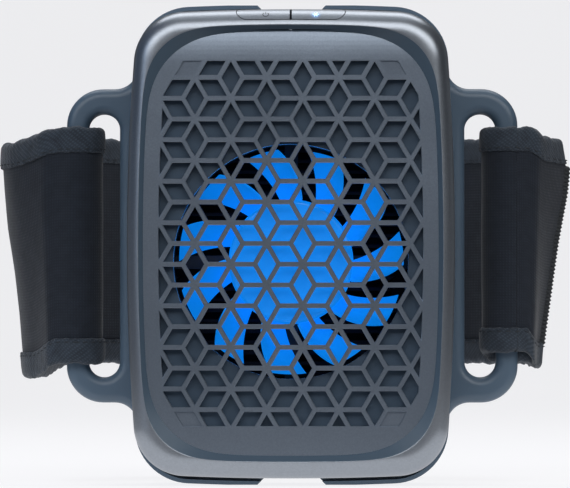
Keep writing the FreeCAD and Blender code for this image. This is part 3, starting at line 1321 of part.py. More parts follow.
def strap():
    outer, roll, lean, slope, front, behind = strap_layout()
    half = size("strap_wide / 2")
    core = size("core_thick / 2")
    stitch, wide = size("stitch_inset"), size("binding_wide")
    crease = size("crease_x")
    to_crease = (crease - front.x) / math.cos(math.radians(lean))
    turn = slope - lean
    tangent = size("crease_radius") * math.tan(math.radians(turn / 2))
    side, depth = size("side_radius"), size("limb_depth")

    # free end, drawn outwards from its hinge
    flap = Path(front.x, front.y, lean)
    flap.run(to_crease - tangent)
    flap.turn(turn, size("crease_radius"))
    flap.run(size("flap_long"))
    tip = flap.at
    gap = size("split_gap")
    flap.steps[0] = (front + V(math.cos(math.radians(lean)), math.sin(math.radians(lean)), 0) * gap,
                     lean, flap.steps[0][2], lean, None)

    # right half of the ring: round the bar, under the free end, then round the limb to the middle
    away = V(math.sin(math.radians(slope)), -math.cos(math.radians(slope)), 0)
    right = Path(front.x, front.y, 180 + lean)
    right.turn(-(180 + 2 * lean), roll)
    fold = size("fold_radius")
    bend = slope + lean
    under = Path(behind.x, behind.y, -lean)
    under.turn(bend, fold)
    wanted = 2 * outer + size("hook_thick + hook_gap")
    spare = (tip - under.at).dot(away) - wanted
    right.run(max(spare, 0.1) / math.sin(math.radians(bend)))
    right.turn(bend, fold)
    right.run(3)
    right.turn(90 - slope, side)
    right.run(depth - right.at.y - right.at.x)
    right.turn(90, right.at.x)

    # left half: the outer layer runs on as the ring, and a short tail is sewn inside the crease
    left = Path(behind.x + size("tail_long") * math.cos(math.radians(lean)),
                behind.y - size("tail_long") * math.sin(math.radians(lean)), 180 - lean)
    left.run(size("tail_long"))
    left.turn(180 + 2 * lean, roll)
    left.run(to_crease - tangent)
    left.turn(turn, size("crease_radius"))
    left.run(size("side_run"))
    left.turn(90 - slope, side)
    left.run(depth - left.at.y - left.at.x)
    left.turn(90, left.at.x)
    return flap, right, left, half, core, outer, stitch, wide


def mirrored(shape):
    return shape.mirror(V(), V(1, 0, 0))


def strap_pieces():
    flap, right, left, half, core, outer, stitch, wide = strap()
    edge = half - stitch

    def ring_strip(offset, low, high):
        return right.strip(-offset, offset, low, high).fuse(mirrored(left.strip(-offset, offset, low, high)))

    feature("strap_band", ring_strip(core, -edge, edge).removeSplitter())
    skin, hem = size("skin"), size("hem")
    bands = []
    for low, high in ((half - wide, half), (-half, wide - half)):
        inside = (low, edge + skin) if low > 0 else (-edge - skin, high)
        bands.append(ring_strip(outer, low, high).cut(ring_strip(core + skin, *inside)))
    feature("strap_bindings", Part.makeCompound([s for band in bands for s in band.Solids]))

    body = Path(flap.steps[0][0].x, flap.steps[0][0].y, flap.steps[0][1])
    body.steps = flap.steps[:-1]
    body.at, body.heading = flap.steps[-1][0], flap.steps[-1][1]
    body.run(size("flap_long") - stitch)
    feature("strap_flap", body.strip(-core, core, -edge, edge))
    border = flap.strip(-outer, outer, -half, half)
    field = Path(body.steps[0][0].x, body.steps[0][0].y, body.steps[0][1])
    field.steps = body.steps[:-1]
    field.at, field.heading = flap.steps[-1][0], flap.steps[-1][1]
    field.run(size("flap_long") - hem)
    wide_field = field.strip(-outer - 1, outer + 1, wide - half, half - wide)
    held = body.strip(-core - skin, core + skin, -edge - skin, edge + skin)
    feature("flap_binding", border.cut(wide_field).cut(held))

    hooks = Path(flap.steps[-1][0].x, flap.steps[-1][0].y, flap.steps[-1][1])
    hooks.run(size("hook_long"))
    reach = size("hook_wide / 2")
    feature("hook_patch", hooks.strip(core, core + size("binding_thick + hook_thick"), -reach, reach))


# ---------------------------------------------------------------- the whole machine

front_bezel()
grille_panel()
fan_baffle()
light_parts()
fan_frame()
fan_rotor()
motor()
heat_sink()
thermoelectric_module()
insulation_frame()
treatment_plate()
rear_housing()
strap_frame()
button("power_button", "-")
button("mode_button", "")
key_board()
boards()
batteries()
strap_pieces()
screws("housing_screws", four("screw_x", "screw_z"), "back_depth + head_sink",
       "split_depth - back_depth - head_sink + screw_grip", "screw_radius")
screws("fan_screws", [(x, f"{z} - fan_drop") for x, z in four("fan_hole_pitch / 2", "fan_hole_pitch / 2")],
       "fan_back + fan_thick - head_thick", "-(fan_thick - head_thick + post_thread)", "screw_radius")
screws("heat_sink_screws", four("clamp_x", "clamp_z"), "plate_thick + module_thick + sink_base",
       "-(sink_base + module_thick + plate_thread)", "screw_radius")

doc.recompute()
for obj in doc.Objects:
    if "Invalid" in obj.State or "Error" in obj.State:
        raise RuntimeError(f"{obj.Name} failed: {obj.State}")
for obj in PIECES:
    if obj.Shape.isNull() or not obj.Shape.isValid():
        raise RuntimeError(f"{obj.Label} has no valid shape")

os.makedirs("parts", exist_ok=True)
for obj in PIECES:
    obj.Shape.exportStep(f"parts/{obj.Label}.step")
    print(f"{obj.Label}: {len(obj.Shape.Solids)} solids, {obj.Shape.Volume:.0f} mm3")
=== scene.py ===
# %% [markdown]
# # A hot and cold therapy machine
# A fan-cooled unit that a strap holds on a knee, an arm or a back. A thermoelectric module warms or
# cools the metal plate on its back, and the fan behind the grille carries the waste heat away.
# The engineering model arrives already built. This script gives it its finish, and makes again the
# pieces that a solid modeller can't show well: painted skins, a bevelled lattice, and sewn cloth.

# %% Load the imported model
import math

import bmesh
import bpy
import numpy as np
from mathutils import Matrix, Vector


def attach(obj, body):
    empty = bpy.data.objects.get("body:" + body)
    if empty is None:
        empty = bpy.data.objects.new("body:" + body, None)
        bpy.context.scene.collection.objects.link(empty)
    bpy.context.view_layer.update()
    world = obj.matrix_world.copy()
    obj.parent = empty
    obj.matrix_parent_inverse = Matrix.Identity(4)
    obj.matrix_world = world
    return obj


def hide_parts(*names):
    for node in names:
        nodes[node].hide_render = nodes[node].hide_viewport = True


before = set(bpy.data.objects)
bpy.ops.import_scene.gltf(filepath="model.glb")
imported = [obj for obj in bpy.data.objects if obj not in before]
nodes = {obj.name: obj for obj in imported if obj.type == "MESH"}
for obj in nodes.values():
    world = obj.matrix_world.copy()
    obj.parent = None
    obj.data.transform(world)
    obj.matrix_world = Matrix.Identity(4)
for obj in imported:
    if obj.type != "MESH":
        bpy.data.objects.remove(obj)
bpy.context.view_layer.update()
MM = 0.001

# %% [markdown]
# ## Small tools
# Colours are picked on a screen, so they are written as sRGB hex codes, while a shader wants linear
# light. One function converts them. Another adds a node, its settings and its links in one line,
# which keeps a material short enough to read as a recipe.

# %% Colour and node helpers
def linear(code):
    """An sRGB hex colour as linear RGBA."""
    parts = [int(code[i:i + 2], 16) / 255 for i in (1, 3, 5)]
    return (*[c / 12.92 if c <= 0.04045 else ((c + 0.055) / 1.055) ** 2.4 for c in parts], 1.0)


def node(tree, kind, inputs=None, **settings):
    """Adds a node. Each input is a value, an output to link, or a node whose first output is linked."""
    made = tree.nodes.new(kind)
    for name, value in settings.items():
        setattr(made, name, value)
    for socket, value in (inputs or {}).items():
        if isinstance(value, bpy.types.Node):
            value = value.outputs[0]
        if isinstance(value, bpy.types.NodeSocket):
            tree.links.new(value, made.inputs[socket])
        else:
            made.inputs[socket].default_value = value
    return made


def smooth(value, start, end):
    """0 before start, 1 after end, and an even curve between them."""
    t = np.clip((value - start) / (end - start), 0, 1)
    return t * t * (3 - 2 * t)


def blank_material(name):
    """A new material, its tree and its shader."""
    made = bpy.data.materials.new(name)
    made.use_nodes = True
    return made, made.node_tree, made.node_tree.nodes["Principled BSDF"]


def join_up(tree, shader, tone, bump, gloss=None):
    """Joins a finish's colour and relief, and its gloss if that varies, to the shader."""
    tree.links.new(tone.outputs[2], shader.inputs["Base Color"])
    tree.links.new(bump.outputs["Normal"], shader.inputs["Normal"])
    if gloss:
        tree.links.new(gloss.outputs["Result"], shader.inputs["Roughness"])


def dress(name, material):
    """Gives a CAD node its finish."""
    mesh = nodes[name].data
    mesh.materials.clear()
    mesh.materials.append(material)


# %% [markdown]
# ## Camera
# The unit is seen square from the front through a long lens, so that both side walls vanish and
# the lattice stays even. A lens about ten times as long as the sensor is wide does that from 1.35 m.

# %% Camera
PIXEL = 0.24 * MM               # what one pixel covers at the front shell
PICTURE_WIDE = 570              # pixels
SENSOR = 36                     # width, in millimetres
VIEW_FROM = 1.35                # metres
AIM = Vector((-1.4 * MM, -40 * MM, -0.1 * MM))
RISE, SWING = math.radians(-1.1), math.radians(0.7)
lens = bpy.data.cameras.new("camera")
lens.sensor_width = SENSOR
lens.lens = SENSOR * VIEW_FROM / (PICTURE_WIDE * PIXEL)
lens.clip_start = 0.01
camera = bpy.data.objects.new("camera", lens)
bpy.context.scene.collection.objects.link(camera)
towards = Vector((math.sin(SWING) * math.cos(RISE), -math.cos(SWING) * math.cos(RISE), math.sin(RISE)))
camera.location = AIM + towards * VIEW_FROM
camera.rotation_euler = (AIM - camera.location).to_track_quat("-Z", "Y").to_euler()
bpy.context.scene.camera = camera
print("lens", round(lens.lens), "mm")

# %% [markdown]
# ## Moulded plastic
# Most of the unit is injection-moulded ABS. The mould is spark-eroded, which leaves a fine even
# grain that softens highlights, and the colour clouds slightly where the melt flowed. One recipe
# serves every moulded piece, because only colour, grain and gloss differ between them. A real grain
# is about a tenth of a millimetre, too fine to show, so most pieces have it at half a millimetre.

# %% Moulded plastic
FLOW_CLOUD, CLOUDING, GLOSS_DRIFT = 22 * MM, 0.12, 0.05


def shade(colour, amount):
    """A hex colour as linear RGBA, made lighter or darker by a factor."""
    return (*[min(1.0, c * amount) for c in linear(colour)[:3]], 1.0)


def moulded(name, colour, roughness, grain_mm=0.5, depth_mm=0.02):
    """Spark-eroded plastic: an even grain, faint flow clouds and a smoother gloss in places."""
    made, tree, shader = blank_material(name)
    place = node(tree, "ShaderNodeTexCoord").outputs["Object"]
    grain = node(tree, "ShaderNodeTexNoise", {"Vector": place, "Scale": 1 / (grain_mm * MM),
                                              "Detail": 3.0})
    cloud = node(tree, "ShaderNodeTexNoise", {"Vector": place, "Scale": 1 / FLOW_CLOUD, "Detail": 3.0})
    tone = node(tree, "ShaderNodeMix", {0: cloud.outputs["Fac"], 6: shade(colour, 1 - CLOUDING),
                                        7: shade(colour, 1 + CLOUDING)}, data_type="RGBA")
    gloss = node(tree, "ShaderNodeMapRange", {"Value": cloud.outputs["Fac"],
                                              "To Min": roughness - GLOSS_DRIFT,
                                              "To Max": roughness + GLOSS_DRIFT})
    bump = node(tree, "ShaderNodeBump", {"Height": grain.outputs["Fac"], "Distance": depth_mm * MM,
                                         "Strength": 0.6})
    join_up(tree, shader, tone, bump, gloss)
    shader.inputs["IOR"].default_value = 1.53
    return made


# Soft-touch ABS on the frame that is handled: a broad, velvety sheen.
frame_abs = moulded("blue_grey_soft_touch_abs", "#55687a", 0.38)
# Plain ABS deep behind the grille, dull and dark: its blue-grey is darkened further as painted
# shade of the cells, so that the ribs stand out against it.
baffle_shaded_abs = moulded("baffle_abs_darkened_for_shade", "#33475a", 0.5)
# Blue-grey ABS on the slope round the panel, darker than the paint on either side: its bluish tint,
# with painted shade of the narrow dip.
slope_shaded_abs = moulded("slope_abs_with_painted_shade", "#425464", 0.42)
# Bare ABS on the floors of the blind cells: a shade bluer than the paint round them.
floor_abs = moulded("blue_grey_abs", "#4c6684", 0.45)
# ABS on the back shell, with a rougher grain that hides scratches: almost no highlight.
housing_abs = moulded("housing_blue_grey_abs", "#333f50", 0.55)
# Glass-filled PBT of the fan frame: flat black with a dry look.
fan_frame_pbt = moulded("black_glass_filled_pbt", "#131416", 0.5)
# Black ABS of the cradles: like the fan frame, a little lighter.
cradle_abs = moulded("black_abs", "#1a1b1d", 0.5)
# Epoxy round chips and switches: a fine grain and a slight gloss.
chip_epoxy = moulded("moulded_epoxy", "#141415", 0.42, grain_mm=0.2, depth_mm=0.01)
# Bonded ferrite of the magnet ring: dull charcoal.
magnet_ferrite = moulded("bonded_ferrite", "#26262a", 0.65, grain_mm=0.3)
# Closed-cell foam: cut cells leave pits deep enough to see.
foam_rubber = moulded("closed_cell_foam", "#2a2a2c", 0.9, grain_mm=0.7, depth_mm=0.12)
# Silicone rubber of the gasket: smooth and soft-looking, without a sharp highlight.
gasket_rubber = moulded("silicone_rubber", "#222326", 0.6, grain_mm=0.9, depth_mm=0.01)
# Alumina faces of the thermoelectric module: chalky off-white.
ceramic = moulded("alumina_ceramic", "#e2e2dc", 0.45, grain_mm=0.25, depth_mm=0.008)
# Heat-shrunk PVC round the cells: glossy, with long faint waves.
battery_wrap = moulded("heat_shrink_pvc", "#2d5a8f", 0.3, grain_mm=1.5, depth_mm=0.01)
print("first and last moulded finish:", frame_abs.name, "and", battery_wrap.name)

# %% [markdown]
# ## Satin metallic paint
# The front shell and the lattice panel are sprayed with a gunmetal paint. Fine aluminium flakes lie
# almost flat in it, so it looks like metal from some angles and like plastic from others. A mostly
# metallic shader with a faint flake pattern gives that. Real flakes are some hundredths of a
# millimetre wide, too fine to show, so they are drawn ten times as coarse.

# %% Satin metallic paint
FLAKE, FLAKE_RELIEF, SPRAY_DRIFT = 0.35 * MM, 0.004 * MM, 30 * MM
FLAKE_SHARE = 0.92              # how much of the paint acts as metal


def flake_paint(name, colour, roughness):
    """Sprayed satin paint with aluminium flakes."""
    made, tree, shader = blank_material(name)
    place = node(tree, "ShaderNodeTexCoord").outputs["Object"]
    flakes = node(tree, "ShaderNodeTexVoronoi", {"Vector": place, "Scale": 1 / FLAKE})
    drift = node(tree, "ShaderNodeTexNoise", {"Vector": place, "Scale": 1 / SPRAY_DRIFT, "Detail": 2.0})
    mixed = node(tree, "ShaderNodeMath", {0: flakes.outputs["Color"], 1: drift.outputs["Fac"]},
                 operation="MULTIPLY")
    tone = node(tree, "ShaderNodeMix", {0: mixed.outputs[0], 6: shade(colour, 0.9),
                                        7: shade(colour, 1.12)}, data_type="RGBA")
    gloss = node(tree, "ShaderNodeMapRange", {"Value": drift.outputs["Fac"], "To Min": roughness - 0.04,
                                              "To Max": roughness + 0.04})
    bump = node(tree, "ShaderNodeBump", {"Height": flakes.outputs["Distance"],
                                         "Distance": FLAKE_RELIEF, "Strength": 0.3})
    join_up(tree, shader, tone, bump, gloss)
    shader.inputs["Metallic"].default_value = FLAKE_SHARE
    return made


# On the shell, a warm silver grey whose highlights run out softly.
shell_paint = flake_paint("satin_gunmetal_paint", "#a4aab2", 0.34)
# On the lattice panel, a shade bluer and smoother, so that it reads as a separate moulding.
panel_paint = flake_paint("satin_gunmetal_panel_paint", "#949fad", 0.325)
print("paints:", shell_paint.name, "and", panel_paint.name)

# %% [markdown]
# ## Metals
# Blasted and anodised aluminium is an even, silky grey. Turned steel keeps fine rings from the tool,
# and a stamped or drawn part keeps lines along its length. One noise serves them all: it is left
# even, or stretched the way the tool ran. It is coarser than a real grain, so that it shows.

# %% Metals
def metal(name, colour, roughness, stretch=(1, 1, 1), grain_mm=0.4, depth_mm=0.006):
    """Metal with a fine surface grain, stretched along an axis where it was drawn or brushed."""
    made, tree, shader = blank_material(name)
    place = node(tree, "ShaderNodeTexCoord").outputs["Object"]
    along = node(tree, "ShaderNodeMapping", {"Vector": place, "Scale": stretch})
    grain = node(tree, "ShaderNodeTexNoise", {"Vector": along.outputs[0], "Scale": 1 / (grain_mm * MM),
                                              "Detail": 4.0})
    tone = node(tree, "ShaderNodeMix", {0: grain.outputs["Fac"], 6: shade(colour, 0.85),
                                        7: linear(colour)}, data_type="RGBA")
    gloss = node(tree, "ShaderNodeMapRange", {"Value": grain.outputs["Fac"], "To Min": roughness - 0.06,
                                              "To Max": roughness + 0.06})
    bump = node(tree, "ShaderNodeBump", {"Height": grain.outputs["Fac"], "Distance": depth_mm * MM,
                                         "Strength": 0.5})
    join_up(tree, shader, tone, bump, gloss)
    shader.inputs["Metallic"].default_value = 1.0
    return made


# Bead-blasted and anodised plate: an even, silky grey.
plate_metal = metal("blasted_anodised_aluminium", "#a9adb3", 0.42, grain_mm=0.35, depth_mm=0.02)
# Black oxide on small screws: dark, with a dull metallic edge.
black_steel = metal("black_oxide_steel", "#26272a", 0.35, grain_mm=0.25)
# Extruded fins, anodised black: lines run along the extrusion.
fin_metal = metal("black_anodised_aluminium", "#24262a", 0.45, stretch=(0.1, 1, 1))
# Turned or drawn steel: bright, with fine tool lines.
steel = metal("turned_steel", "#b9bbbe", 0.3, stretch=(1, 0.15, 1))
# Stamped core sheets, stacked along the axis: thin layers show at the side.
core_metal = metal("laminated_core_steel", "#6b625a", 0.5, stretch=(0.2, 6, 0.2))
print("metals:", [m.name for m in (plate_metal, black_steel, fin_metal, steel, core_metal)])

# %% [markdown]
# ## Lit plastic
# The rotor is blue polycarbonate lit by a ring of lamps round the air way, so light leaks out all
# over it. Lamps inside the plastic would be slow and noisy to render. Emission whose colour changes
# with the distance from the axis says the same, and it looks the same in every view.

# %% Lit plastic
FAN_AXIS_Z = -4.3 * MM


def lit_plastic(name, deep, bright, power, from_mm, to_mm):
    """Edge-lit plastic: its glow changes colour from one radius about the fan axis to another."""
    made, tree, shader = blank_material(name)
    place = node(tree, "ShaderNodeTexCoord").outputs["Object"]
    centred = node(tree, "ShaderNodeMapping", {"Vector": place, "Location": (0, 0, -FAN_AXIS_Z),
                                               "Scale": (1, 0, 1)})
    radius = node(tree, "ShaderNodeVectorMath", {0: centred.outputs[0]}, operation="LENGTH")
    rise_out = node(tree, "ShaderNodeMapRange", {"Value": radius.outputs["Value"],
                                                 "From Min": from_mm * MM, "From Max": to_mm * MM},
                    interpolation_type="SMOOTHSTEP")
    haze = node(tree, "ShaderNodeTexNoise", {"Vector": place, "Scale": 1 / (9 * MM), "Detail": 2.0})
    mixed = node(tree, "ShaderNodeMath", {0: rise_out.outputs["Result"], 1: haze.outputs["Fac"],
                                          2: 0.15}, operation="MULTIPLY_ADD")
    glow = node(tree, "ShaderNodeMix", {0: mixed.outputs[0], 6: linear(deep), 7: linear(bright)},
                data_type="RGBA")
    tree.links.new(glow.outputs[2], shader.inputs["Base Color"])
    tree.links.new(glow.outputs[2], shader.inputs["Emission Color"])
    shader.inputs["Emission Strength"].default_value = power
    shader.inputs["Roughness"].default_value = 0.3
    shader.inputs["IOR"].default_value = 1.585
    return made


# The rotor glows an even, saturated blue that deepens towards the blade tips.
rotor_plastic = lit_plastic("lit_blue_polycarbonate", "#0a8cf4", "#0a80d0", 0.6, 12, 27)
# The diffuser ring is milky, closer to the lamps, and so paler and brighter.
light_plastic = lit_plastic("lit_blue_diffuser", "#2a90ff", "#5fb8ff", 1.2, 26, 31)
print("lit plastics:", rotor_plastic.name, "and", light_plastic.name)

# %% [markdown]
# ## Key paint over a lamp, and printed inks
# Both keys are painted as the shell is. The right one's paint is thin over a small lamp, so a soft
# blue glow surrounds its sign. A real lamp behind a see-through layer would do it too, but emission
# that fades with the distance from the lamp's place gives the glow without noise. The signs are
# printed ink: one plain dark grey, and one that lets the lamp through.

# %% Lit key paint and inks
LAMP, LAMP_REACH, LAMP_GLOW = (6.0 * MM, -42.6 * MM, 54.9 * MM), 1.7 * MM, 0.55
lit_key_paint = flake_paint("gunmetal_paint_over_lamp", "#a4aab2", 0.34)
tree = lit_key_paint.node_tree
shader = tree.nodes["Principled BSDF"]
place = node(tree, "ShaderNodeTexCoord").outputs["Object"]
away = node(tree, "ShaderNodeVectorMath", {0: place, 1: LAMP}, operation="DISTANCE")
halo = node(tree, "ShaderNodeMapRange", {"Value": away.outputs["Value"], "From Min": LAMP_REACH,
                                         "From Max": 0.0, "To Max": LAMP_GLOW},
            interpolation_type="SMOOTHERSTEP")
tree.links.new(halo.outputs["Result"], shader.inputs["Emission Strength"])
shader.inputs["Emission Color"].default_value = linear("#4aa6ff")
dark_ink = moulded("dark_printed_ink", "#4a4f57", 0.5, grain_mm=0.3, depth_mm=0.01)
lit_ink = moulded("lit_printed_ink", "#e6f4ff", 0.5, grain_mm=0.3, depth_mm=0.01)
shader = lit_ink.node_tree.nodes["Principled BSDF"]
shader.inputs["Emission Color"].default_value = linear("#a8d6ff")
shader.inputs["Emission Strength"].default_value = 1.1
print("lamp reach:", round(LAMP_REACH / MM, 2), "mm")

# %% [markdown]
# ## Circuit board
# A board is glass fibre under green solder mask. Copper tracks under the mask show as slightly
# lighter, raised lines. Drawing each track would be work that nobody sees inside the closed shell,
# and a brick pattern with long rows reads as bundles of tracks.

# %% Circuit board
TRACK_PITCH, TRACK_RISE = 1.2 * MM, 0.03 * MM
board_mask, tree, shader = blank_material("green_solder_mask")
place = node(tree, "ShaderNodeTexCoord").outputs["Object"]
turned = node(tree, "ShaderNodeMapping", {"Vector": place, "Rotation": (math.radians(90), 0, 0)})
tracks = node(tree, "ShaderNodeTexBrick", {"Vector": turned.outputs[0], "Scale": 1 / TRACK_PITCH,
                                           "Color1": (0, 0, 0, 1), "Color2": (0, 0, 0, 1),
                                           "Mortar": (1, 1, 1, 1), "Mortar Size": 0.05,
                                           "Brick Width": 6.0, "Row Height": 0.6})
tone = node(tree, "ShaderNodeMix", {0: tracks.outputs["Fac"], 6: linear("#0f4a2c"),
                                    7: linear("#1b6a42")}, data_type="RGBA")
raised = node(tree, "ShaderNodeBump", {"Height": tracks.outputs["Fac"], "Distance": TRACK_RISE})
join_up(tree, shader, tone, raised)
shader.inputs["Roughness"].default_value = 0.3
print("tracks every", round(TRACK_PITCH / MM, 2), "mm")

# %% [markdown]
# ## Strap cloth
# The strap is a thin foam faced with an elastic knit. Its loops stand in columns about half a
# millimetre wide. The knit follows the strap round its folds, so its pattern reads a UV map that is
# laid out in real metres: along the strap, and across it. The bindings are a twilled tape, whose
# ribs run at a slant. Two waves that cross give the loops, and a slanted pair gives the twill. The
# same waves darken the colour in the hollows and lighten it on the tops: painted shade and painted
# highlight.

# %% Strap cloth
WAVE_REPEAT = 0.314             # how far a wave texture of scale 1 runs before it repeats
LINT = 3 * MM


def cloth(name, dark, light, column_mm, row_mm, depth_mm, slant=0.0):
    """Knitted or woven cloth that follows the piece's own UV map, which is in metres."""
    made, tree, shader = blank_material(name)
    laid = node(tree, "ShaderNodeUVMap", uv_map="cloth").outputs["UV"]
    turned = node(tree, "ShaderNodeMapping", {"Vector": laid, "Rotation": (0, 0, math.radians(slant))})
    columns = node(tree, "ShaderNodeTexWave", {"Vector": turned.outputs[0],
                                               "Scale": WAVE_REPEAT / (column_mm * MM),
                                               "Distortion": 0.6, "Detail": 1.0, "Detail Scale": 0.5},
                   bands_direction="X")
    rows = node(tree, "ShaderNodeTexWave", {"Vector": turned.outputs[0],
                                            "Scale": WAVE_REPEAT / (row_mm * MM)},
                bands_direction="Y")
    loops = node(tree, "ShaderNodeMath", {0: columns.outputs["Fac"], 1: rows.outputs["Fac"]},
                 operation="MULTIPLY")
    lint = node(tree, "ShaderNodeTexNoise", {"Vector": laid, "Scale": 1 / LINT, "Detail": 6.0,
                                             "Roughness": 0.7})
    # The loops set the relief and also the colour: darker in the hollows between loops and ribs as
    # painted shade, lighter on their tops as painted highlight. The lint is the yarn's own uneven tone.
    relief_and_painted_shade = node(tree, "ShaderNodeMath", {0: loops.outputs[0], 1: lint.outputs["Fac"],
                                         2: lint.outputs["Fac"]}, operation="MULTIPLY_ADD")
    tone = node(tree, "ShaderNodeMix", {0: relief_and_painted_shade.outputs[0], 6: linear(dark), 7: linear(light)},
                data_type="RGBA")
    bump = node(tree, "ShaderNodeBump", {"Height": relief_and_painted_shade.outputs[0], "Distance": depth_mm * MM,
                                         "Strength": 0.8})
    join_up(tree, shader, tone, bump)
    shader.inputs["Roughness"].default_value = 0.85
    shader.inputs["Sheen Weight"].default_value = 0.25
    shader.inputs["Sheen Roughness"].default_value = 0.5
    shader.inputs["Specular IOR Level"].default_value = 0.25
    return made


# Elastic knit: nearly black, and so matt that its folds show only as soft changes of grey.
knit = cloth("elastic_knit", "#11151d", "#272e39", 0.6, 0.7, 0.12)
# Twilled tape: each rib is painted paler on its top for the light that it catches, so the tape looks a
# little paler than the knit. A real twill is about 0.5 mm from rib to rib, and this one is drawn
# coarser to show.
tape = cloth("ribbed_binding_tape", "#0b0e13", "#434d59", 0.8, 0.55, 0.14, slant=45)
# Woven ground of the hook tape: flat and black.
hook_tape = cloth("woven_hook_tape", "#101114", "#2a2c31", 0.8, 0.8, 0.35)
# Spun polyester: a fuzzy thread with no gloss, a shade lighter than the tape that it sews.
thread = moulded("polyester_thread", "#2a2f36", 0.7, grain_mm=0.3, depth_mm=0.05)
# Overlock thread, bulked to cover a raw edge: soft and matt.
dark_thread = moulded("black_overlock_thread", "#303336", 0.8, grain_mm=0.3, depth_mm=0.08)
# Moulded nylon hooks: small, smooth and slightly glossy.
hook_nylon = moulded("hook_nylon", "#1b1e23", 0.45, grain_mm=0.4, depth_mm=0.02)
print("cloths:", [m.name for m in (knit, tape, hook_tape)])

# %% [markdown]
# ## Pieces whose shape is already right
# Most inner pieces and the back shell are true to the real ones as the solid modeller made them. They
# only need their finish. A table from finish to pieces keeps that in one place.

# %% Finish the nodes whose shape is already right
FINISHES = {
    shell_paint: ["front_bezel", "power_button"],
    lit_key_paint: ["mode_button"],
    panel_paint: ["grille_panel"],
    baffle_shaded_abs: ["fan_baffle"],
    light_plastic: ["light_ring"],
    fan_frame_pbt: ["fan_frame"],
    rotor_plastic: ["fan_rotor"],
    magnet_ferrite: ["fan_magnet_ring"],
    steel: ["fan_shaft", "fan_bearings", "usb_c_port", "housing_screws"],
    black_steel: ["fan_screws", "heat_sink_screws"],
    core_metal: ["fan_stator"],
    fin_metal: ["heat_sink"],
    ceramic: ["thermoelectric_module"],
    foam_rubber: ["insulation_frame"],
    chip_epoxy: ["temperature_sensor", "button_switches", "board_chips"],
    plate_metal: ["treatment_plate"],
    gasket_rubber: ["plate_gasket"],
    housing_abs: ["rear_housing"],
    frame_abs: ["strap_frame"],
    board_mask: ["button_board", "main_board", "charge_board"],
    battery_wrap: ["battery_cells"],
    cradle_abs: ["battery_cradles"],
    knit: ["strap_band", "strap_flap"],
    tape: ["strap_bindings", "flap_binding"],
    hook_tape: ["hook_patch"],
}
for material, names in FINISHES.items():
    for name in names:
        dress(name, material)
print("finished nodes:", sum(len(names) for names in FINISHES.values()))

# %% [markdown]
# ## Growing pieces with Geometry Nodes
# Whatever repeats on this unit, such as the cells of its grille and the stitches of its strap, is
# grown by a node tree. A tree has named inputs for its sizes, so one number changes the whole
# pattern. Its result is kept as a plain mesh, because a finished piece shouldn't depend on a modifier.

# %% Trees and what they grow
def blank_tree(name, inputs):
    """A tree with geometry in and out and the named inputs, and the outputs of its input node."""
    made = bpy.data.node_groups.new(name, "GeometryNodeTree")
    made.interface.new_socket("Geometry", in_out="INPUT", socket_type="NodeSocketGeometry")
    for title, kind in inputs.items():
        made.interface.new_socket(title, in_out="INPUT", socket_type="NodeSocket" + kind)
    made.interface.new_socket("Geometry", in_out="OUTPUT", socket_type="NodeSocketGeometry")
    return made, made.nodes.new("NodeGroupInput").outputs


def grown(name, start, tree, values):
    """Runs a tree on a mesh and keeps the result as a plain object."""
    holder = bpy.data.objects.new(name + "_start", start)
    bpy.context.scene.collection.objects.link(holder)
    modifier = holder.modifiers.new("growth", "NODES")
    modifier.node_group = tree
    for item in tree.interface.items_tree:
        if item.in_out == "INPUT" and item.name in values:
            modifier[item.identifier] = values[item.name]
    depsgraph = bpy.context.evaluated_depsgraph_get()
    plain = bpy.data.meshes.new_from_object(holder.evaluated_get(depsgraph))
    plain.name = name
    bpy.data.objects.remove(holder)
    made = bpy.data.objects.new(name, plain)
    bpy.context.scene.collection.objects.link(made)
    return made


# %% [markdown]
# ## The lattice panel
# The grille is one moulding, 1.8 mm thick: a plate with rhombic openings in the pattern that tilers
# call tumbling blocks. It could be modelled rib by rib, but the openings follow a simpler rule. Their
# joints lie on a triangular grid, and from each joint one opening points up, one up and to the right
# and one down and to the right. So the tree makes one cutter, puts it at every place by that rule,
# keeps what lies in the window, and cuts all of it out of the plate at once. The cutter flares at its
# front end, which leaves the small bevel that catches light along each rib.

# %% Levels of a cutter
CELL_SIDE, RIB, CELL_BEVEL = 5.75 * MM, 1.14 * MM, 0.12 * MM
PANEL_FRONT, PANEL_BACK = 42.3 * MM, 40.5 * MM
FLARE_LONG = 2.5                # how many bevels a cutter reaches out in front of the panel
LATTICE_SIZES = {"Side": "Float", "Rib": "Float", "Bevel": "Float", "Front": "Float", "Back": "Float"}


def levels(tree, given):
    """For a block with corners at -1, 0 and 1 in y: how far it flares, and its place in depth."""
    at = node(tree, "ShaderNodeSeparateXYZ", {0: node(tree, "GeometryNodeInputPosition")}).outputs
    ahead = node(tree, "ShaderNodeMath", {0: at["Y"], 1: 0.0}, operation="MINIMUM")
    behind = node(tree, "ShaderNodeMath", {0: at["Y"], 1: 0.0}, operation="MAXIMUM")
    flare = node(tree, "ShaderNodeMath", {0: given["Bevel"], 1: -FLARE_LONG},
                 operation="MULTIPLY")
    wider = node(tree, "ShaderNodeMath", {0: ahead, 1: flare}, operation="MULTIPLY")
    level = node(tree, "ShaderNodeMath", {0: given["Bevel"], 1: given["Front"]}, operation="SUBTRACT")
    depth = node(tree, "ShaderNodeMath", {0: level, 1: given["Back"]}, operation="ADD")
    to_back = node(tree, "ShaderNodeMath", {0: behind, 1: depth}, operation="MULTIPLY")
    straight = node(tree, "ShaderNodeMath", {0: level, 1: to_back}, operation="SUBTRACT")
    return at, wider, node(tree, "ShaderNodeMath", {0: straight, 1: wider}, operation="SUBTRACT")


print("cell side", round(CELL_SIDE / MM, 2), "mm, rib", round(RIB / MM, 2), "mm")

